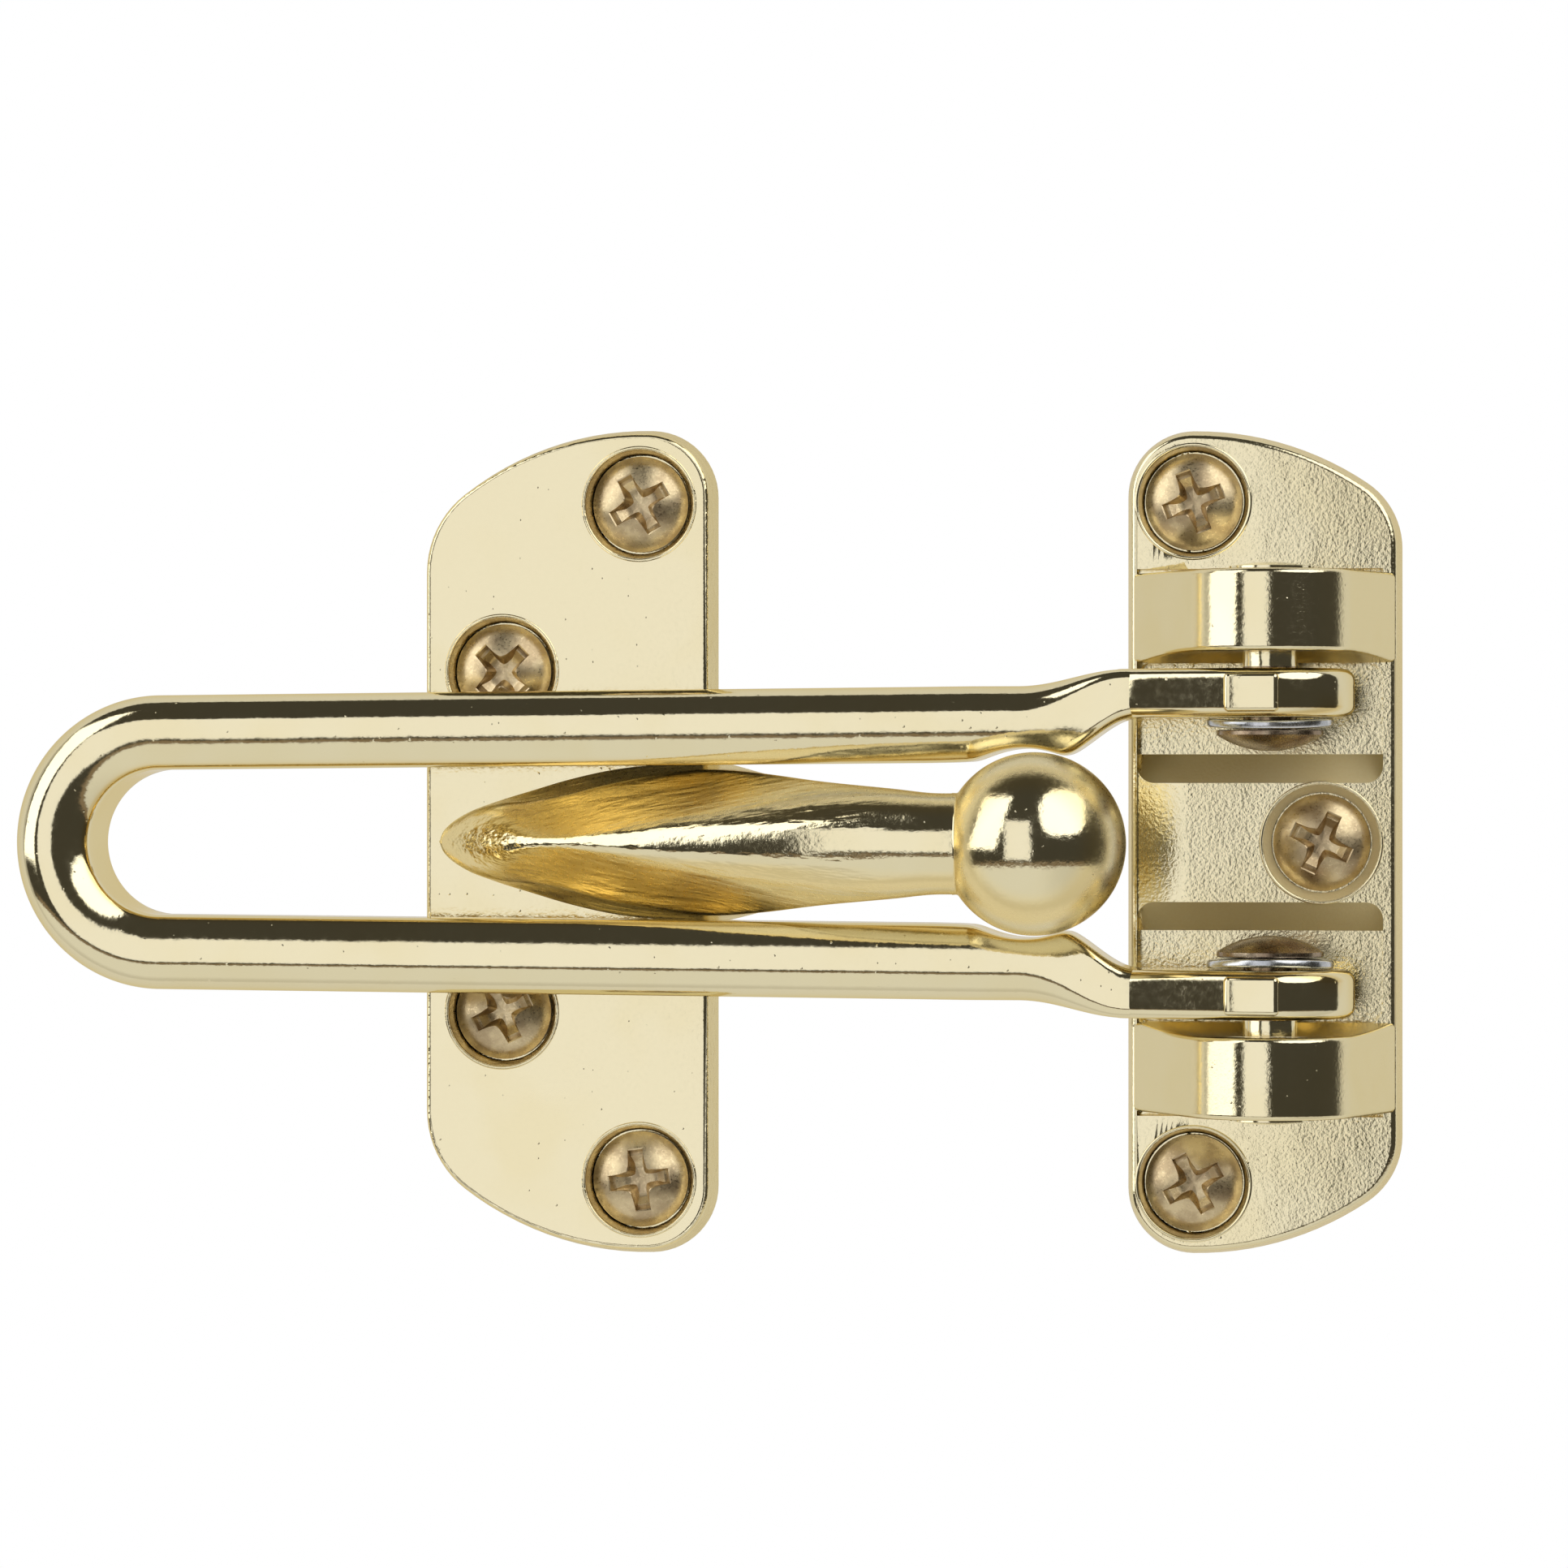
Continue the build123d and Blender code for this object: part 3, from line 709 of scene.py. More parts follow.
    def eye(self) -> Shell:
        """An eye: an outline about the pin, carried across its thickness.

        The outline's radius at angle a is the disc's, or r / cos(a - t) along the lines that touch the
        disc at t and run out into the arm, or end / |cos a| where they end. The corner between the
        last two is rounded: (u⁻ᵖ + v⁻ᵖ)^(-1/p).
        """
        angle = np.radians(np.linspace(0, 360, 541, endpoint=False))
        half = self.tall / 2
        touch = pi - atan2(half, self.jog_end) - np.arccos(self.eye_r / hypot(self.jog_end, half))
        signed = np.arctan2(np.sin(angle), np.cos(angle))
        past = np.clip(np.abs(signed) - touch, 0, None)
        limit = (self.jog_end + self.eye_lead) / np.clip(-np.cos(angle), 1e-3, None)
        p = self.corner_power
        radius = ((self.eye_r / np.cos(np.clip(past, 0, 1.35))) ** -p + limit**-p) ** (-1 / p)
        rim = np.stack([radius * np.cos(angle), radius * np.sin(angle)], axis=-1)
        hole = self.hole_r * np.stack([np.cos(angle), np.sin(angle)], axis=-1)
        return self.across_eye(rim, hole)

    def stop_lump(self) -> Shell:
        """The raised lump on an eye: a shallow arc that ends in a step, carried across.

        Its top is at z = c - b + √(b² - (x - x_c)²), with (x_c, c) the crest and b the arc's radius.
        """
        (left, right), (crest_x, crest_z) = self.stop_span, self.stop_crest
        b, r = self.stop_r, self.stop_round
        low = self.eye_r / 2
        x = np.linspace(right - r, left + r, 30)
        z = crest_z - b + np.sqrt(b**2 - (x - crest_x) ** 2)
        rim = np.concatenate([
            line((left, low), (right, low), 12),
            line((right, low), (right, z[0] - r), 8),
            arc((right - r, z[0] - r), r, 0, 90, 8),
            np.stack([x, z], axis=-1)[:-1],
            arc((left + r, z[-1] - r), r, 90, 180, 8),
            line((left, z[-1] - r), (left, low), 8),
        ])
        near, far = self.eye_outer_y - self.eye_thick + self.stop_inset, self.eye_outer_y - self.stop_inset
        body, level = carried(rim, near, far, r)
        core = np.broadcast_to(rim.mean(axis=0), body[:1].shape)
        plan = np.concatenate([core, body, core])
        y = np.broadcast_to(np.concatenate([[near], level, [far]])[:, None], plan.shape[:2])
        return Shell.over(np.stack([PIN.x + plan[..., 0], y, PIN.z + plan[..., 1]], axis=-1))

    def across_eye(self, rim: Array, hole: Array) -> Shell:
        """Carries an eye's rim across its thickness and joins it to the pin's hole.

        Args:
            rim: Outline points about the pin, as (x, z).
            hole: Points of the pin hole's edge at the same angles.

        Returns:
            The eye's shell.
        """
        near, far = self.eye_outer_y - self.eye_thick, self.eye_outer_y
        body, level = carried(rim, near, far, self.eye_round)
        body = body.swapaxes(0, 1)
        hole = hole[:, None, :]
        near_ring, far_ring = 0.5 * (body[:, :1] + hole), 0.5 * (body[:, -1:] + hole)
        plan = np.concatenate([hole, near_ring, body, far_ring, hole], axis=1)
        heights = np.concatenate([[near, near], level, [far, far]])
        y = np.broadcast_to(heights, plan.shape[:2])
        grid = np.stack([PIN.x + plan[..., 0], y, PIN.z + plan[..., 1]], axis=-1)
        return Shell.over(np.concatenate([grid, grid[:1]]))

    def build(self, finish: bpy.types.Material) -> bpy.types.Object:
        """Makes the bar casting."""
        ends = [part.mirrored(side) for side in Side for part in (self.eye(), self.stop_lump())]
        shells = [self.sweep(), *ends]
        return Piece("swing_bar_casting", "swing_bar", "bar", "cast_gold", finish, shells).build()


# Keeper


@dataclass
class BallKeeper:
    """The keeper casting: plate, fluted horn, neck and ball."""

    left: float = -63.85
    right: float = -39.45
    draft_deg: float = 8.0
    tip_inset: float = 1.5
    horn_half: float = 6.5
    horn_sink: float = 1.6
    neck_r: float = 4.05
    ball_x: float = -11.9
    ball_z: float = 16.8
    ball_r: float = 7.3
    collar_round: float = 0.35
    edge_round: float = 0.12
    steps_along: int = 220
    steps_each: int = 8
    sections: tuple[tuple[float, ...], ...] = (
        # place, half width, rise, underside, roundness, flare, ridge, crest out, crest up
        (0.000, 0.004, 0.005, 0.00, 0.00, 0.0, 0.10, 0.60, 0.55),
        (0.009, 0.165, 0.045, 0.00, 0.00, 0.0, 0.09, 0.60, 0.55),
        (0.030, 0.297, 0.105, 0.00, 0.00, 0.0, 0.08, 0.60, 0.55),
        (0.070, 0.446, 0.203, 0.00, 0.00, 0.02, 0.05, 0.62, 0.56),
        (0.115, 0.580, 0.305, 0.00, 0.00, 0.32, 0.03, 0.64, 0.57),
        (0.165, 0.705, 0.405, 0.00, 0.00, 0.78, 0.05, 0.67, 0.58),
        (0.225, 0.830, 0.502, 0.00, 0.00, 0.98, 0.10, 0.71, 0.58),
        (0.300, 0.940, 0.598, 0.00, 0.00, 1.0, 0.19, 0.77, 0.56),
        (0.380, 0.990, 0.683, 0.00, 0.00, 1.0, 0.28, 0.84, 0.51),
        (0.455, 1.000, 0.752, 0.00, 0.00, 1.0, 0.36, 0.90, 0.46),
        (0.545, 0.910, 0.830, 0.38, 0.15, 1.0, 0.45, 0.94, 0.40),
        (0.660, 0.775, 0.915, 0.74, 0.50, 1.0, 0.55, 0.96, 0.40),
        (0.780, 0.675, 0.975, 0.93, 0.86, 1.0, 0.60, 0.97, 0.45),
        (0.841, 0.6231, 1.000, 1.00, 1.00, 0.0, 0.60, 0.97, 0.45),
        (0.899, 0.6231, 1.000, 1.00, 1.00, 0.0, 0.60, 0.97, 0.45),
        (0.957, 0.6231, 1.000, 1.00, 1.00, 0.0, 0.60, 0.97, 0.45),
    )

    def half_section(self, table: Array, slim: Array) -> tuple[Array, Array]:
        """Shares of half width and height at eleven points up one side of each section.

        The plain form is a dome and the round one half a circle. The flared one has a steep side up to
        its crest, then rises as k + (e - k) · t^1.15 to the ridge's edge at e = 1 - 0.58 · ridge · slim.

        Args:
            table: The rows of sections.
            slim: Half width over height, by row.

        Returns:
            Width shares and height shares, by section and point.
        """
        roundness, flare, ridge, crest, up = (table[:, k : k + 1] for k in range(4, 9))
        plain = np.array([(0.62, 0.0), (0.97, 0.02), (1.0, 0.14), (0.99, 0.34), (0.965, 0.52), (0.92, 0.66),
                          (0.84, 0.775), (0.72, 0.86), (0.56, 0.925), (0.38, 0.968), (0.19, 0.992)])
        turns = pi * np.arange(1, 12) / 12
        circle = np.stack([np.sin(turns), 0.5 - 0.5 * np.cos(turns)], axis=-1)
        one = np.ones_like(ridge)
        side, fall = np.array([0.10, 0.50, 0.86]), np.array([0.08, 0.60, 0.91])
        outer_y = np.concatenate([0.62 * one, 0.985 * one, one - (1 - crest) * fall], axis=1)
        outer_z = np.concatenate([0.0 * one, 0.02 * one, 0.10 + (up - 0.10) * side], axis=1)
        rise = np.array([0.0, 0.30, 0.62, 0.86])
        edge = 1 - 0.58 * ridge * slim[:, None]
        inner_y = crest + (ridge - crest) * rise
        inner_z = up + (edge - up) * rise**1.15
        top_y = np.concatenate([0.96 * ridge, 0.55 * ridge], axis=1)
        top_z = np.concatenate([edge, 1 - 0.28 * (1 - edge)], axis=1)
        flared_y = np.concatenate([outer_y, inner_y, top_y], axis=1)
        flared_z = np.concatenate([outer_z, inner_z, top_z], axis=1)
        y = plain[:, 0] + flare * (flared_y - plain[:, 0])
        z = plain[:, 1] + flare * (flared_z - plain[:, 1])
        return y + roundness * (circle[:, 0] - y), z + roundness * (circle[:, 1] - z)

    def horn(self) -> Shell:
        """Horn and neck: a cubic surface through a net of section points, both along and round.

        A section has its foot at the sunk root, raised by its underside share, and its top raised by
        its rise share of the way from the plate to the neck's top. Along the horn the curves run in
        step with the square root of the place, which makes the nose round.
        """
        table = np.array(self.sections)
        place, half, rise, under = table[:, :4].T
        root = PLATE_THICK - self.horn_sink
        bottom = root + under * (self.ball_z - self.neck_r - root)
        top = PLATE_THICK + rise * (self.ball_z + self.neck_r - PLATE_THICK)
        width, height = self.half_section(table, half * self.horn_half / (top - bottom))
        nil, one = np.zeros((len(table), 1)), np.ones((len(table), 1))
        y = np.concatenate([nil, width, nil, -width[:, ::-1]], axis=1) * (half * self.horn_half)[:, None]
        share = np.concatenate([nil, height, one, height[:, ::-1]], axis=1)
        z = bottom[:, None] + share * (top - bottom)[:, None]
        tip = self.left + self.tip_inset
        x = np.broadcast_to((tip + place * (self.ball_x - tip))[:, None], y.shape)
        net = np.stack([x, y, z], axis=-1)
        net = through(np.sqrt(place), net, np.linspace(0, sqrt(place[-1]), self.steps_along))
        count, wrap = net.shape[1], 3
        ring = np.concatenate([net[:, -wrap:], net, net[:, :wrap]], axis=1).swapaxes(0, 1)
        around = np.linspace(0, count, self.steps_each * count, endpoint=False)
        knots = np.arange(-wrap, count + wrap, dtype=float)
        return Shell.capped(through(knots, ring, around).swapaxes(0, 1))

    def ball(self) -> Shell:
        """Ball and collar: a small hollow round from the neck to the ball, all turned about the neck.

        The hollow round's centre lies ball_r + c from the ball's and neck_r + c from the axis.
        """
        c = self.collar_round
        out = self.neck_r + c
        back = sqrt((self.ball_r + c) ** 2 - out**2)
        lean = np.degrees(atan2(out, back))
        centre = (self.ball_x - back, out)
        start = centre[0] - 0.5
        profile = np.concatenate([
            [(start, 0.0), (start, self.neck_r - 0.1)],
            line((start + 0.25, self.neck_r + 0.015), (centre[0], self.neck_r), 2),
            arc(centre, c, -90, -lean, 8),
            arc((self.ball_x, 0), self.ball_r, 180 - lean, 0, 90),
            [(self.ball_x + self.ball_r, 0.0)],
        ])
        return turned(profile, 160, "x").moved((0.0, 0.0, self.ball_z))

    def plate(self) -> bmesh.types.BMesh:
        """The plate alone: a copy of the solid's skin without what stands on it or beyond its side."""
        made = merged_copy("keeper_plate")
        lean = tan(radians(self.draft_deg))

        def beyond(v: bmesh.types.BMVert) -> bool:
            x, z = v.co.x / MM, v.co.z / MM
            return z > PLATE_THICK + 0.01 or x > self.right - lean * z + 0.06

        off = [f for f in made.faces if any(beyond(v) for v in f.verts)]
        bmesh.ops.delete(made, geom=off, context="FACES")
        rims = [e for e in made.edges if e.is_boundary]
        bmesh.ops.holes_fill(made, edges=rims, sides=0)
        flat_faces(made)
        return made

    def build(self, finish: bpy.types.Material) -> bpy.types.Object:
        """Makes the keeper casting."""
        seats = [seat for s in screws() if "keeper" in s.node for seat in ScrewSeat(s.x, s.y).shells()]
        shells = [self.horn(), self.ball(), *seats]
        piece = Piece(
            "ball_keeper_casting", "keeper_plate", "keeper", "cast_gold", finish, shells, self.plate(),
        )
        return softened(piece.build(), self.edge_round)


@dataclass(frozen=True)
class ScrewSeat:
    """What lies round a screw's head: a cone at the recess's foot and a small lip at its mouth."""

    x: float
    y: float
    recess_r: float = 4.5
    floor_z: float = 2.05
    cone_from_r: float = 4.08
    cone_top_z: float = 2.75
    lip_r: float = 0.17
    lip_rise: float = 0.07

    def shells(self) -> list[Shell]:
        """Cone and lip, each a small section turned about the screw's axis."""
        r = self.recess_r
        cone = np.array([
            (self.floor_z, self.cone_from_r), (self.cone_top_z, r + 0.01), (self.cone_top_z, r + 0.3),
            (self.floor_z, r + 0.3), (self.floor_z, self.cone_from_r),
        ])
        middle = (PLATE_THICK + self.lip_rise - self.lip_r, r + self.lip_r - 0.02)
        lip = arc(middle, self.lip_r, 0, 360, 12)
        lip = np.concatenate([lip, lip[:1]])
        place = (self.x, self.y, 0.0)
        return [turned(section, 96, "z").placed(0.0, place) for section in (cone, lip)]


def flat_faces(made: bmesh.types.BMesh) -> None:
    """Joins triangles that lie in one plane into whole faces."""
    bmesh.ops.dissolve_limit(made, angle_limit=radians(0.15), verts=made.verts, edges=made.edges)


# Hinge bracket


@dataclass
class HingeBracket:
    """The bracket casting: ears, middle pad, sunk pans and both lugs, from its solid's skin."""

    edge_round: float = 0.14
    middle_recess_r: float = 4.75
    lug_r: float = 7.05
    foot_left: float = -5.12
    foot_right: float = 16.52
    foot_z: float = 2.6
    lug_inner_y: float = 15.37
    lug_outer_y: float = 21.93
    lug_round: float = 0.42
    skin_deep: float = 2.2
    skin_thick: float = 0.5
    flare: float = 0.75
    flare_from_z: float = 13.0
    web_inset: float = 0.9
    web_back_y: float = 16.2
    roll_from: float = -6.5
    roll_edge_x: float = -5.0
    roll_to: float = -0.3
    roll_y: float = 14.8
    roll_floor_z: float = 2.0
    roll_deep: float = 0.5
    roll_cuts: int = 12

    def on_barrel(self, angle_deg: float) -> tuple[float, float]:
        """A point (x, z) of the barrel: the pin plus r · (cos a, sin a)."""
        turn = radians(angle_deg)
        return PIN.x + self.lug_r * cos(turn), PIN.z + self.lug_r * sin(turn)

    def inner_y(self, z: Array) -> Array:
        """Where a lug's inner wall is at height z: y_in - flare · t², with t from 0 to 1 downwards."""
        t = np.clip((self.flare_from_z - z) / (self.flare_from_z - PLATE_THICK), 0, 1)
        return self.lug_inner_y - self.flare * t**2

    def lug_ends(self) -> tuple[float, float]:
        """Angles about the pin at which the two straight flanks touch the barrel."""
        angles = []
        for foot_x, way in ((self.foot_left, -1), (self.foot_right, 1)):
            dx, dz = foot_x - PIN.x, self.foot_z - PIN.z
            angles.append(np.degrees(atan2(dz, dx) + way * np.arccos(self.lug_r / hypot(dx, dz))))
        return angles[0] + 360, angles[1]

    def lug_skin(self) -> Shell:
        """A lug's top and edges: a rounded channel carried along flank, barrel and flank.

        At an outline point p with inward normal n, a channel point at depth d lies at p + d · n and
        beside the inner or outer wall by its own offset.
        """
        start, end = self.lug_ends()
        touch = self.on_barrel(start), self.on_barrel(end)
        feet = (self.foot_left, self.foot_z), (self.foot_right, self.foot_z)
        outline = np.concatenate([
            line(feet[0], touch[0], 20),
            arc((PIN.x, PIN.z), self.lug_r, start, end, 110),
            line(touch[1], feet[1], 20),
            [feet[1]],
        ])
        run = np.gradient(outline, axis=0)
        inward = np.stack([run[:, 1], -run[:, 0]], axis=-1) / np.linalg.norm(run, axis=1, keepdims=True)
        r, thick, deep = self.lug_round, self.skin_thick, self.skin_deep
        b = np.radians(np.linspace(0, 90, 8))
        offset = np.concatenate([[-0.1, 0.0], r * (np.cos(b) - 1)])
        depth = np.concatenate([[deep, deep - 0.3], r * (1 - np.sin(b))])
        offset = np.concatenate([offset, offset[::-1], [-thick, -thick, -thick, -thick]])
        depth = np.concatenate([depth, depth[::-1], [deep, thick, thick, deep]])
        beyond = np.arange(len(depth)) >= len(b) + 2
        beyond[-2:] = False
        x, z = (outline[:, None, k] + depth * inward[:, None, k] for k in (0, 1))
        y = np.where(beyond, self.lug_outer_y + offset, self.inner_y(z) - offset)
        return Shell.capped(np.stack([x, y, z], axis=-1))

    def lug_web(self) -> Shell:
        """A lug's flared inner wall: level strips between its flanks, each at its own inner y."""
        start, end = self.lug_ends()
        z = np.linspace(PLATE_THICK - 0.25, self.flare_from_z + 0.6, 30)
        half = np.sqrt(np.clip(self.lug_r**2 - (z - PIN.z) ** 2, 0, None))
        sides = []
        for angle, foot_x, way in ((start, self.foot_left, -1), (end, self.foot_right, 1)):
            top_x, top_z = self.on_barrel(angle)
            flank = foot_x + (z - self.foot_z) * (top_x - foot_x) / (top_z - self.foot_z)
            sides.append(np.where(z < top_z, flank, PIN.x + way * half) - way * self.web_inset)
        share = np.linspace(0, 1, 30)
        x = sides[0][:, None] + share * (sides[1] - sides[0])[:, None]
        front = np.broadcast_to(self.inner_y(z)[:, None], x.shape)
        y = np.concatenate([front, np.full_like(front, self.web_back_y)], axis=1)
        x = np.concatenate([x, x[:, ::-1]], axis=1)
        return Shell.capped(np.stack([x, y, np.broadcast_to(z[:, None], x.shape)], axis=-1))

    def build(self, finish: bpy.types.Material) -> bpy.types.Object:
        """Makes the bracket casting."""
        made = merged_copy("hinge_bracket")
        flat_faces(made)
        seats = [
            ScrewSeat(s.x, s.y, ScrewSeat.recess_r if s.y else self.middle_recess_r)
            for s in screws() if "bracket" in s.node
        ]
        shells = [shell for seat in seats for shell in seat.shells()]
        shells += [part.mirrored(side) for side in Side for part in (self.lug_skin(), self.lug_web())]
        for x in np.linspace(self.roll_edge_x, self.roll_to, self.roll_cuts):
            every = [*made.verts, *made.edges, *made.faces]
            bmesh.ops.bisect_plane(made, geom=every, plane_co=(x * MM, 0.0, 0.0), plane_no=(1.0, 0.0, 0.0))
        piece = Piece("hinge_bracket_casting", "hinge_bracket", "bracket", "cast_gold", finish, shells, made)
        item = piece.build()
        self.roll_over(item.data)
        return softened(item, self.edge_round)

    def roll_over(self, mesh: bpy.types.Mesh) -> None:
        """Rolls the top's western edge over between the lugs.

        A point's z falls by deep · (1 - s), with s a smooth step of x.
        """
        flat = np.empty(len(mesh.vertices) * 3, dtype=np.float32)
        mesh.vertices.foreach_get("co", flat)
        points = flat.reshape(-1, 3) / MM
        height = points[:, 2]
        between = np.abs(points[:, 1]) < self.roll_y
        on_top = (height > self.roll_floor_z) & (height < PLATE_THICK + 0.05)
        fall = self.roll_deep * (1 - smooth_step(self.roll_from, self.roll_to, points[:, 0]))
        points[:, 2] = height - np.where(between & on_top, fall, 0.0)
        mesh.vertices.foreach_set("co", (points * MM).astype(np.float32).ravel())
        mesh.update()


# Rivets, washers and screws


@dataclass
class PivotRivet:
    """A pivot rivet: domed inner head, shank and peened outer end."""

    side: Side
    shank_r: float = 2.2
    head_r: float = 4.3
    head_rise: float = 1.3
    head_rim: float = 0.4
    head_y: float = 9.113
    lug_y: float = 21.9
    end_r: float = 3.3
    end_rim: float = 0.35
    end_rise: float = 0.35
    edge_round: float = 0.12

    def build(self, finish: bpy.types.Material) -> bpy.types.Object:
        """Makes the rivet: low domes and a shank turned about the hinge axis."""
        rim_y, r = self.head_y - self.head_rim, self.edge_round
        cap = low_dome(self.head_r, self.head_rise, 22)
        peen = low_dome(self.end_r, self.end_rise, 14)[::-1]
        profile = np.concatenate([
            np.stack([rim_y - self.head_rise + cap[:, 0], cap[:, 1]], axis=-1),
            arc((self.head_y - r, self.head_r - r), r, 90, 0, 5),
            [(self.head_y, self.head_r - r), (self.head_y, self.shank_r)],
            [(self.lug_y, self.shank_r), (self.lug_y, self.end_r)],
            np.stack([self.lug_y + self.end_rim + self.end_rise - peen[:, 0], peen[:, 1]], axis=-1),
        ])
        shells = [turned(profile, 96, "y").mirrored(self.side).moved((PIN.x, 0.0, PIN.z))]
        name = self.side.name.lower()
        node = f"pivot_rivet_{name}"
        return Piece(f"rivet_{name}", node, "bracket", "rivet_bronze", finish, shells).build()


@dataclass
class SpringWasher:
    """A bowed spring washer between an eye and a rivet head."""

    side: Side
    outer_r: float = 5.1
    inner_r: float = 2.3
    thick: float = 0.68
    bow_r: float = 60.0
    middle_y: float = 9.163
    edge_round: float = 0.2

    def build(self, finish: bpy.types.Material) -> bpy.types.Object:
        """Makes the washer: a rounded strip turned about the pin, bowed by b - √(b² - x²)."""
        r, t = self.edge_round, self.thick
        strip = np.concatenate([
            arc((r, self.inner_r + r), r, -90, -180, 5),
            line((0.0, self.inner_r + r), (0.0, self.outer_r - r), 8),
            arc((r, self.outer_r - r), r, 180, 90, 5),
            arc((t - r, self.outer_r - r), r, 90, 0, 5),
            line((t, self.outer_r - r), (t, self.inner_r + r), 8),
            arc((t - r, self.inner_r + r), r, 0, -90, 5),
        ])
        strip = np.concatenate([strip, strip[:1]])
        flat = turned(strip, 120, "y")
        bowed = flat.points.copy()
        bowed[:, 1] += self.middle_y + self.bow_r - np.sqrt(self.bow_r**2 - bowed[:, 0] ** 2)
        shells = [Shell(bowed, flat.faces).moved((PIN.x, 0.0, PIN.z)).mirrored(self.side)]
        name = self.side.name.lower()
        node = f"spring_washer_{name}"
        return Piece(f"washer_{name}", node, frame_body(node), "spring_steel", finish, shells).build()


@dataclass
class WoodScrew:
    """A pan head wood screw with a cross recess."""

    node: str
    x: float
    y: float
    turn: float
    seat_z: float = 1.5
    head_r: float = 3.95
    head_tall: float = 2.2
    head_rim: float = 0.7
    under_round: float = 0.15
    cross_long: float = 2.55
    cross_half: float = 0.62
    cross_flare: float = 0.24
    shoulder_r: float = 2.25
    shoulder_long: float = 1.5
    core_r: float = 1.42
    crest_r: float = 2.0
    pitch: float = 1.25
    long: float = 16.0
    point: float = 3.0
    under_r: float = 2.0
    thread_lead: float = 0.35
    thread_run_in: float = 1.6
    ridge_half: float = 0.3
    rings: tuple[tuple[float, float, float], ...] = (
        # share of the cross, then depth below the dome's rim or else below the top
        (0.975, 0.05, 0.0),
        (0.95, 0.30, 0.0),
        (0.90, 0.65, 0.0),
        (0.80, 0.0, 1.18),
        (0.60, 0.0, 1.52),
        (0.52, 0.0, 1.66),
        (0.27, 0.0, 1.68),
        (0.0, 0.0, 1.70),
    )

    def cross(self, angle: Array) -> Array:
        """Radius of the cross outline at an angle.

        Folded to one eighth, it is long / cos a across an arm's end and w / sin a along its side,
        where w flares from the arm's half width towards the inner corner.
        """
        folded = np.abs((angle + pi / 4) % (pi / 2) - pi / 4)
        corner = atan2(self.cross_half, self.cross_long)
        share = np.clip((folded - corner) / (pi / 4 - corner), 0, 1)
        side = (self.cross_half + self.cross_flare * share**1.5) / np.sin(np.clip(folded, 0.05, None))
        return np.where(folded <= corner, self.cross_long / np.cos(folded), side)

    def angles(self) -> Array:
        """Angles round the head, with one at each corner of the cross."""
        corner = atan2(self.cross_half, self.cross_long)
        eighth = np.concatenate([np.linspace(0, corner, 3, endpoint=False), np.linspace(corner, pi / 4, 9)])
        quarter = np.concatenate([eighth, pi / 2 - eighth[-2:0:-1]])
        return np.concatenate([quarter + k * pi / 2 for k in range(4)])

    def head(self) -> Shell:
        """The head: rings that turn from its round rim into the cross outline, then go down into it.

        A ring on the dome lies at s - √(s² - r²) below the top, where s is the dome's ball radius.
        """
        angle = self.angles()
        cross = self.cross(angle)
        rise = self.head_tall - self.head_rim
        ball_r = (self.head_r**2 + rise**2) / (2 * rise)
        share = np.linspace(0, 1, 18)[:, None]
        radius = (1 - share) * self.head_r + share * (cross + 0.05)
        dome = self.head_tall - ball_r + np.sqrt(ball_r**2 - radius**2)
        r = self.under_round
        skirt = np.concatenate([[(0.0, 0.0), (self.under_r, 0.0)], arc((self.head_r - r, r), r, -90, 0, 5)])
        rings_r = [np.repeat(skirt[:, :1], len(angle), axis=1), radius]
        rings_z = [np.repeat(skirt[:, 1:], len(angle), axis=1), dome]
        rim = dome[-1]
        for scale, drop, level in self.rings:
            height = rim - drop if level == 0.0 else np.full_like(rim, self.head_tall - level)
            rings_r.append((scale * cross)[None])
            rings_z.append(height[None])
        out, high = np.concatenate(rings_r), np.concatenate(rings_z)
        grid = np.stack([out * np.cos(angle), out * np.sin(angle), high], axis=-1)
        return Shell.over(grid)

    def shank(self) -> Shell:
        """Shoulder, thread and point: radius core + (crest - core) · w, with w a ridge along a helix.

        The ridge is 1 - |h - 0.5| / ridge_half where h is the fraction of z / pitch - a / 2π. Over the
        point all of it shrinks with the square root of what is left.
        """
        angle = np.linspace(0, 2 * pi, 40, endpoint=False)
        z = np.linspace(-self.shoulder_long - self.thread_lead, -self.long, 160)[:, None]
        phase = (z / self.pitch - angle / (2 * pi)) % 1.0
        ridge = np.clip(1 - np.abs(phase - 0.5) / self.ridge_half, 0, 1)
        run_in = smooth_step(0.0, self.thread_run_in, -self.shoulder_long - z)
        left = np.sqrt(np.clip((z + self.long) / self.point, 0, 1))
        radius = (self.core_r + (self.crest_r - self.core_r) * ridge * run_in) * left
        top_z = np.array([0.2, 0.2, -self.shoulder_long, -self.shoulder_long - 0.3])[:, None]
        top_r = np.array([0.0, self.shoulder_r, self.shoulder_r, self.core_r + 0.2])[:, None]
        radius = np.concatenate([np.repeat(top_r, len(angle), axis=1), radius])
        height = np.repeat(np.concatenate([top_z, z]), len(angle), axis=1)
        return Shell.over(np.stack([radius * np.cos(angle), radius * np.sin(angle), height], axis=-1))

    def build(self, finish: bpy.types.Material) -> bpy.types.Object:
        """Makes the screw in its recess."""
        shells = [s.placed(self.turn, (self.x, self.y, self.seat_z)) for s in (self.head(), self.shank())]
        name, body = f"{self.node}_threaded", frame_body(self.node)
        return Piece(name, self.node, body, "screw_bronze", finish, shells, sharp_deg=42.0).build()


def frame_body(node: str) -> str:
    """The body that a solid rides on."""
    return frame["nodes"][node]["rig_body"]


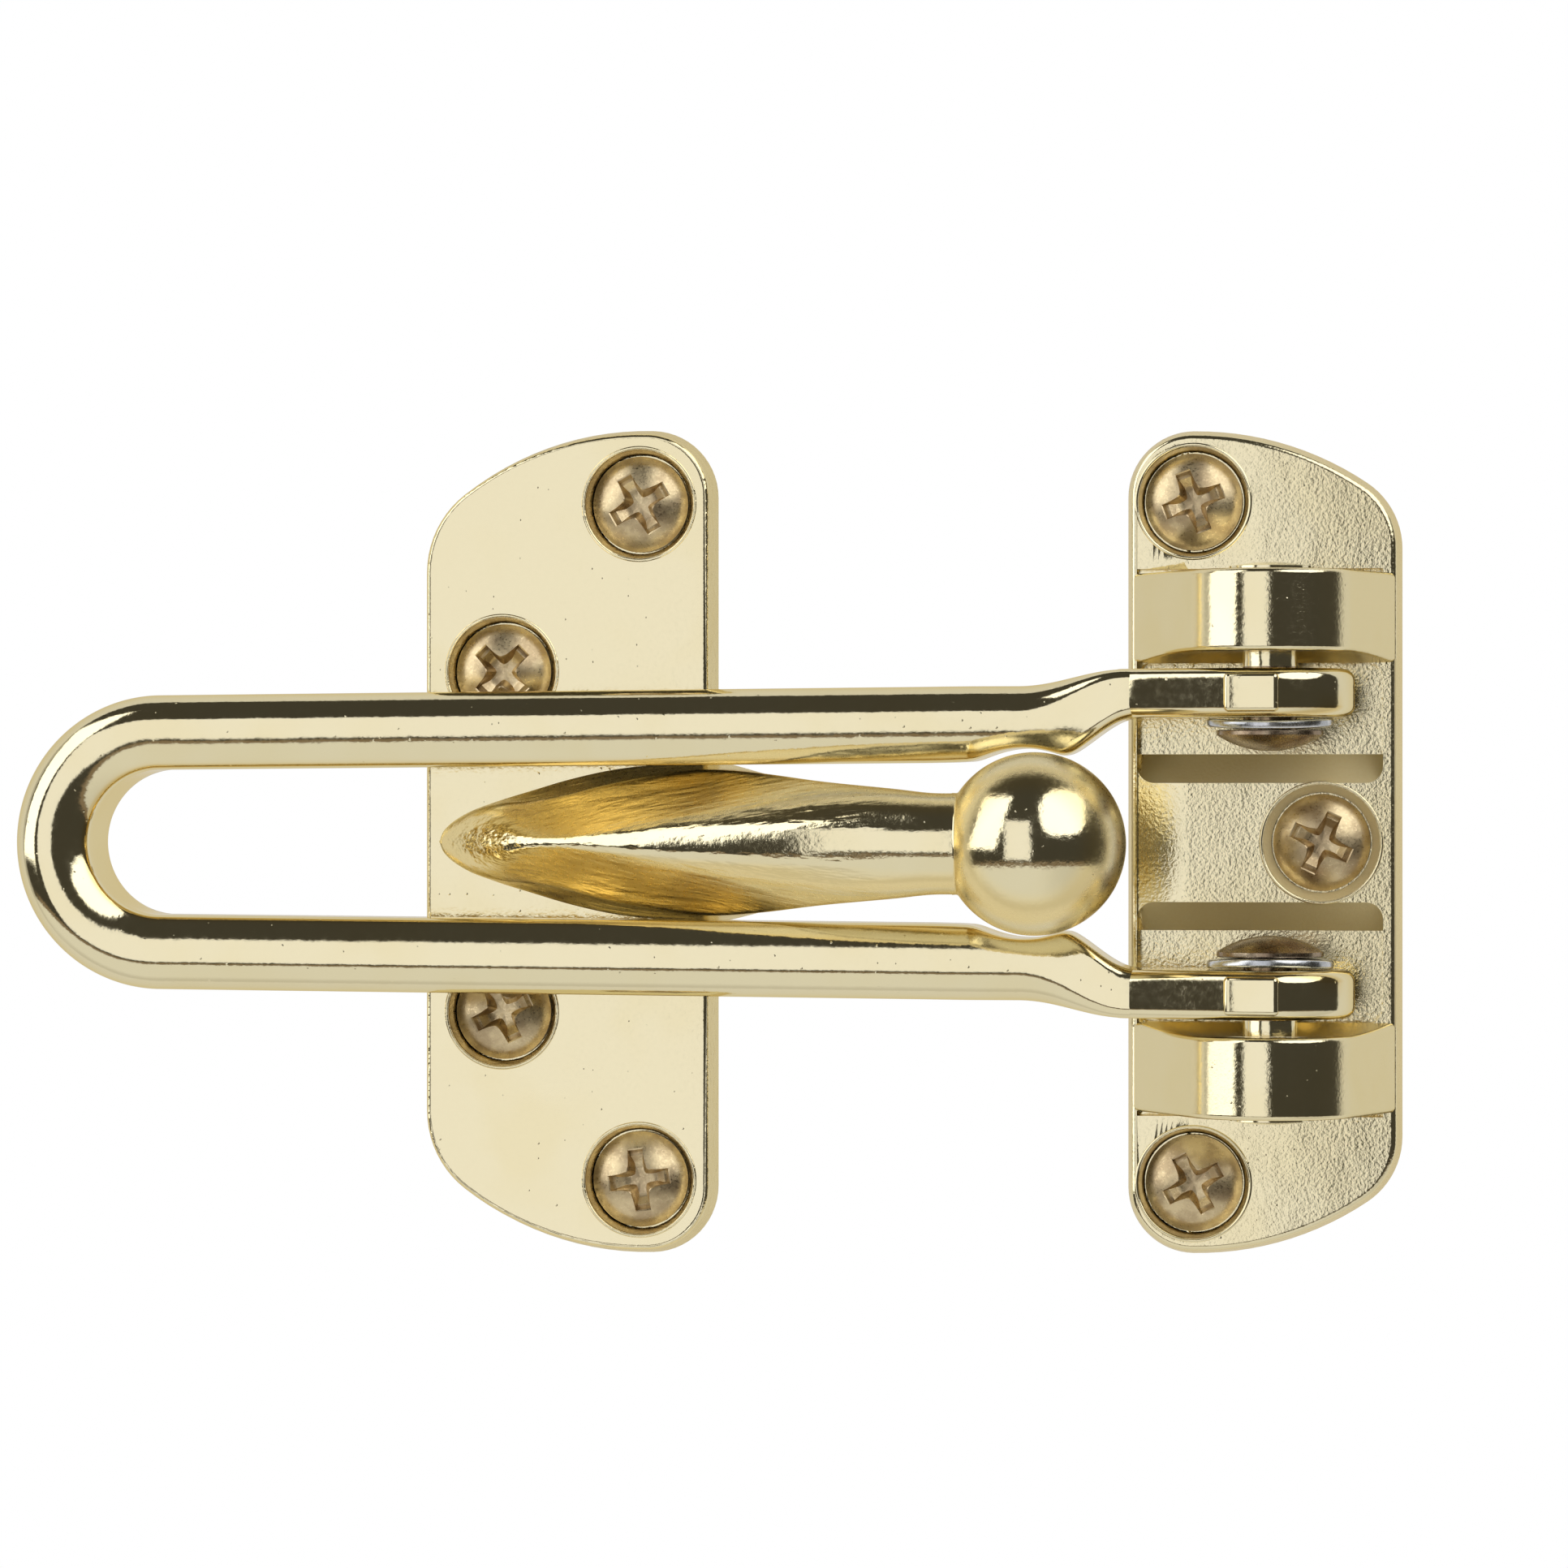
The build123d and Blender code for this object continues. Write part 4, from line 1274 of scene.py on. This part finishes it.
def screws() -> list[WoodScrew]:
    """Every screw, placed as its solid is."""
    rows = [
        ("keeper_screw_1", -45.65, 27.85, 30.0),
        ("keeper_screw_2", -57.10, 14.05, 45.0),
        ("keeper_screw_3", -57.10, -14.05, 25.0),
        ("keeper_screw_4", -45.65, -27.85, 8.0),
        ("bracket_screw_1", 0.0, 27.8, 20.0),
        ("bracket_screw_2", 10.4, 0.0, 65.0),
        ("bracket_screw_3", 0.0, -27.8, 28.0),
    ]
    return [WoodScrew(*row) for row in rows]


# Studio


@dataclass(frozen=True)
class Panel:
    """A panel of light as a ball would show it: its spans across and up, and its soft edges."""

    across: tuple[float, float]
    up: tuple[float, float]
    soft_across: float
    soft_up: float

    def mask(self, graph: Graph, across: Any, up: Any) -> bpy.types.NodeSocket:
        """1 inside the panel and 0 outside it."""
        wide = graph.within(across, *self.across, self.soft_across)
        tall = graph.within(up, *self.up, self.soft_up)
        return graph.math("MULTIPLY", wide, tall)


@dataclass
class Studio:
    """Floor, soft light all round and the camera."""

    floor_z: float = -15.2
    floor_west: float = -420.0
    floor_east: float = 100.0
    floor_south: float = -420.0
    floor_north: float = 170.0
    floor_tone: float = 0.8
    floor_shine: float = 0.74
    dark: tuple[float, float, float] = (0.056, 0.052, 0.042)
    south: tuple[float, float, float] = (0.77, 0.765, 0.74)
    south_east: tuple[float, float, float] = (0.64, 0.63, 0.60)
    patch: tuple[float, float, float] = (0.97, 0.965, 0.98)
    edge: tuple[float, float, float] = (0.23, 0.175, 0.12)
    horizon: tuple[float, float, float] = (0.60, 0.585, 0.55)
    lamp: tuple[float, float, float] = (1.7, 1.7, 1.68)
    to_camera: tuple[float, float, float] = (0.078, 0.0, 0.997)
    to_right: tuple[float, float, float] = (0.997, 0.0, -0.078)
    brown_panel: Panel = Panel((-0.62, 0.55), (-0.235, -0.195), 0.08, 0.012)
    cream_panel: Panel = Panel((-0.32, -0.038), (-0.165, 0.26), 0.012, 0.015)
    slant_lamp: Panel = Panel((-0.63, -0.336), (-0.06, 0.52), 0.012, 0.02)
    slant: float = -0.319
    slant_at: float = 0.0734
    round_lamp_at: tuple[float, float] = (0.31, 0.34)
    round_lamp_power: float = 2.6
    round_lamp_edge: tuple[float, float] = (0.235, 0.262)
    eye_at: tuple[float, float, float] = (26.9, 4.77, 496.3)
    aim_at: tuple[float, float, float] = (-34.0, 4.77, 0.0)
    lens: float = 138.8

    def floor(self) -> bpy.types.Object:
        """A wide pale floor under the screw points."""
        x, y = (self.floor_west, self.floor_east), (self.floor_south, self.floor_north)
        corners = np.array([(x[0], y[0]), (x[1], y[0]), (x[1], y[1]), (x[0], y[1])])
        points = np.concatenate([corners, np.full((4, 1), self.floor_z)], axis=1) * MM
        mesh = bpy.data.meshes.new("floor")
        mesh.from_pydata(points.tolist(), [], [(0, 1, 2, 3)])
        mesh.materials.append(self.floor_finish())
        item = bpy.data.objects.new("floor", mesh)
        bpy.context.scene.collection.objects.link(item)
        return item

    def floor_finish(self) -> bpy.types.Material:
        """A pale matt floor that the camera and see-through things meet as white."""
        made, graph = blank_finish("pale_floor")
        tone = (self.floor_tone,) * 3
        matt = graph.node("ShaderNodeBsdfDiffuse", {"Color": (*tone, 1.0)}).outputs[0]
        white = graph.node("ShaderNodeEmission", {"Color": (1.0, 1.0, 1.0, 1.0), "Strength": 1.0}).outputs[0]
        shine = {"Color": (1.0, 0.985, 0.95, 1.0), "Strength": self.floor_shine}
        mirrored = graph.node("ShaderNodeEmission", shine).outputs[0]
        glossy = graph.node("ShaderNodeLightPath").outputs["Is Glossy Ray"]
        shown = graph.node("ShaderNodeMixShader", {0: glossy, 1: matt, 2: mirrored}).outputs[0]
        final = graph.node("ShaderNodeMixShader", {0: graph.seen_directly(), 1: shown, 2: white})
        graph.node("ShaderNodeOutputMaterial", {"Surface": final.outputs[0]})
        return made

    def light(self) -> None:
        """Soft light from all round, by direction.

        With d a direction and v the one towards the camera, (hx, hy) is where a ball would show d:
        the across and up parts of the unit vector along d + v. Panels are boxes and rounds there.
        """
        world = bpy.data.worlds.new("soft_studio")
        bpy.context.scene.world = world
        world.use_nodes = True
        graph = Graph(world.node_tree)
        away = graph.node("ShaderNodeTexCoord").outputs["Generated"]
        half = graph.vector("NORMALIZE", graph.vector("ADD", away, self.to_camera))
        hx = graph.vector("DOT_PRODUCT", half, self.to_right)
        hy = graph.parts(half)[1]
        below = graph.blend(graph.step(hx, 0.0, 0.4), self.south, self.south_east)
        shade = graph.blend(graph.step(hy, -0.245, -0.225, 1.0, 0.0), self.dark, below)
        shade = graph.blend(self.low_light(graph, away), shade, self.horizon)
        shade = graph.blend(self.brown_panel.mask(graph, hx, hy), shade, self.edge)
        shade = graph.blend(self.cream_panel.mask(graph, hx, hy), shade, self.patch)
        leaned = graph.math("MULTIPLY_ADD", hy, self.slant, graph.math("ADD", hx, self.slant_at))
        shade = graph.blend(self.slant_lamp.mask(graph, leaned, hy), shade, self.lamp)
        shade = graph.blend(self.round_lamp(graph, hx, hy), shade, self.lamp)
        shade = graph.blend(graph.seen_directly(), shade, (1.0, 1.0, 1.0))
        back = graph.node("ShaderNodeBackground", {"Color": shade, "Strength": 1.0})
        graph.node("ShaderNodeOutputWorld", {"Surface": back.outputs[0]})

    def low_light(self, graph: Graph, away: Any) -> bpy.types.NodeSocket:
        """Share of horizon light: low in the south or low in the west, whichever is more."""
        east, north, up = graph.parts(away)
        south = graph.step(north, -0.75, -0.35, 1.0, 0.0)
        west = graph.step(east, -0.9, -0.6, 1.0, 0.0)
        low_south = graph.math("MULTIPLY", south, graph.step(up, 0.04, 0.32, 0.85, 0.0))
        low_west = graph.math("MULTIPLY", west, graph.step(up, 0.0, 0.16, 0.85, 0.0))
        return graph.math("MAXIMUM", low_south, low_west)

    def round_lamp(self, graph: Graph, hx: Any, hy: Any) -> bpy.types.NodeSocket:
        """Share of a lamp with rounded corners: 1 where (|dx|ᵖ + |dy|ᵖ)^(1/p) is under its edge."""
        off = []
        for value, middle in zip((hx, hy), self.round_lamp_at):
            beside = graph.math("ABSOLUTE", graph.math("SUBTRACT", value, middle))
            off.append(graph.math("POWER", beside, self.round_lamp_power))
        spread = graph.math("POWER", graph.math("ADD", *off), 1 / self.round_lamp_power)
        return graph.step(spread, *self.round_lamp_edge, 1.0, 0.0)

    def camera(self) -> bpy.types.Object:
        """The photograph's view: nearly straight down, leaning a little from the hinge's side."""
        eye, aim = Vector(self.eye_at) * MM, Vector(self.aim_at) * MM
        ahead = (aim - eye).normalized()
        across = ahead.cross(Vector((0.0, 1.0, 0.0))).normalized()
        up = across.cross(ahead)
        data = bpy.data.cameras.new("photo_view")
        data.lens = self.lens
        data.sensor_width = 36.0
        data.clip_start = 0.01
        item = bpy.data.objects.new("photo_view", data)
        turn = Matrix((across, up, -ahead)).transposed().to_4x4()
        item.matrix_world = Matrix.Translation(eye) @ turn
        bpy.context.scene.collection.objects.link(item)
        bpy.context.scene.camera = item
        return item

    def build(self) -> None:
        """Sets up floor, light, camera and plain colour."""
        self.floor()
        self.light()
        self.camera()
        bpy.context.scene.view_settings.view_transform = "Standard"
        LOG.info("studio: floor, light and camera")


def main() -> None:
    """Builds every piece and the studio."""
    logging.basicConfig(level=logging.INFO, format="%(name)s: %(message)s")
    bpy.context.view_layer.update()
    # each gold finish paints a reflection on steep faces: a deeper gold tint that stands in for light
    # bounced between the gold faces
    bar_gold = PlatedFinish(
        "bar_gold", painted_reflection_share=0.85, peel_size=0.5, peel_deep=0.007, wave_deep=0.026, pit_share=0.66,
        slot_end_x=SwingBar().loop_x,
    ).build()
    plate_gold = PlatedFinish(
        "plate_gold", painted_reflection_tint=(0.98, 0.77, 0.33), steep_rough=0.20, roughness=0.09,
        peel_size=0.35, peel_deep=0.012, wave_deep=0.036, streak_deep=0.10,
    ).build()
    bracket_gold = PlatedFinish(
        "bracket_gold", painted_reflection_tint=(0.98, 0.84, 0.50), painted_reflection_share=0.3, steep_rough=0.12, peel_from=2.0,
        peel_to=16.0, peel_least=0.3, roughness=0.09, peel_size=0.27, peel_deep=0.026, wave_deep=0.03,
        inside_y=15.0, inside_rough=0.62,
    ).build()
    bronze, dark_bronze, plated = (0.46, 0.37, 0.26), (0.30, 0.22, 0.15), PlatedFinish.tint
    rivet_bronze = BarrelledFinish("rivet_bronze", bronze, dark_bronze, 0.26, outer_tint=plated).build()
    spring_steel = BarrelledFinish("spring_steel", (0.74, 0.75, 0.77), (0.50, 0.52, 0.55), 0.22).build()
    screw_bronze = BarrelledFinish("screw_bronze", (0.76, 0.62, 0.38), (0.52, 0.40, 0.24), 0.33).build()
    SwingBar().build(bar_gold)
    BallKeeper().build(plate_gold)
    HingeBracket().build(bracket_gold)
    for side in Side:
        PivotRivet(side).build(rivet_bronze)
        SpringWasher(side).build(spring_steel)
    for screw in screws():
        screw.build(screw_bronze)
    Studio().build()


if __name__ == "__main__":
    main()
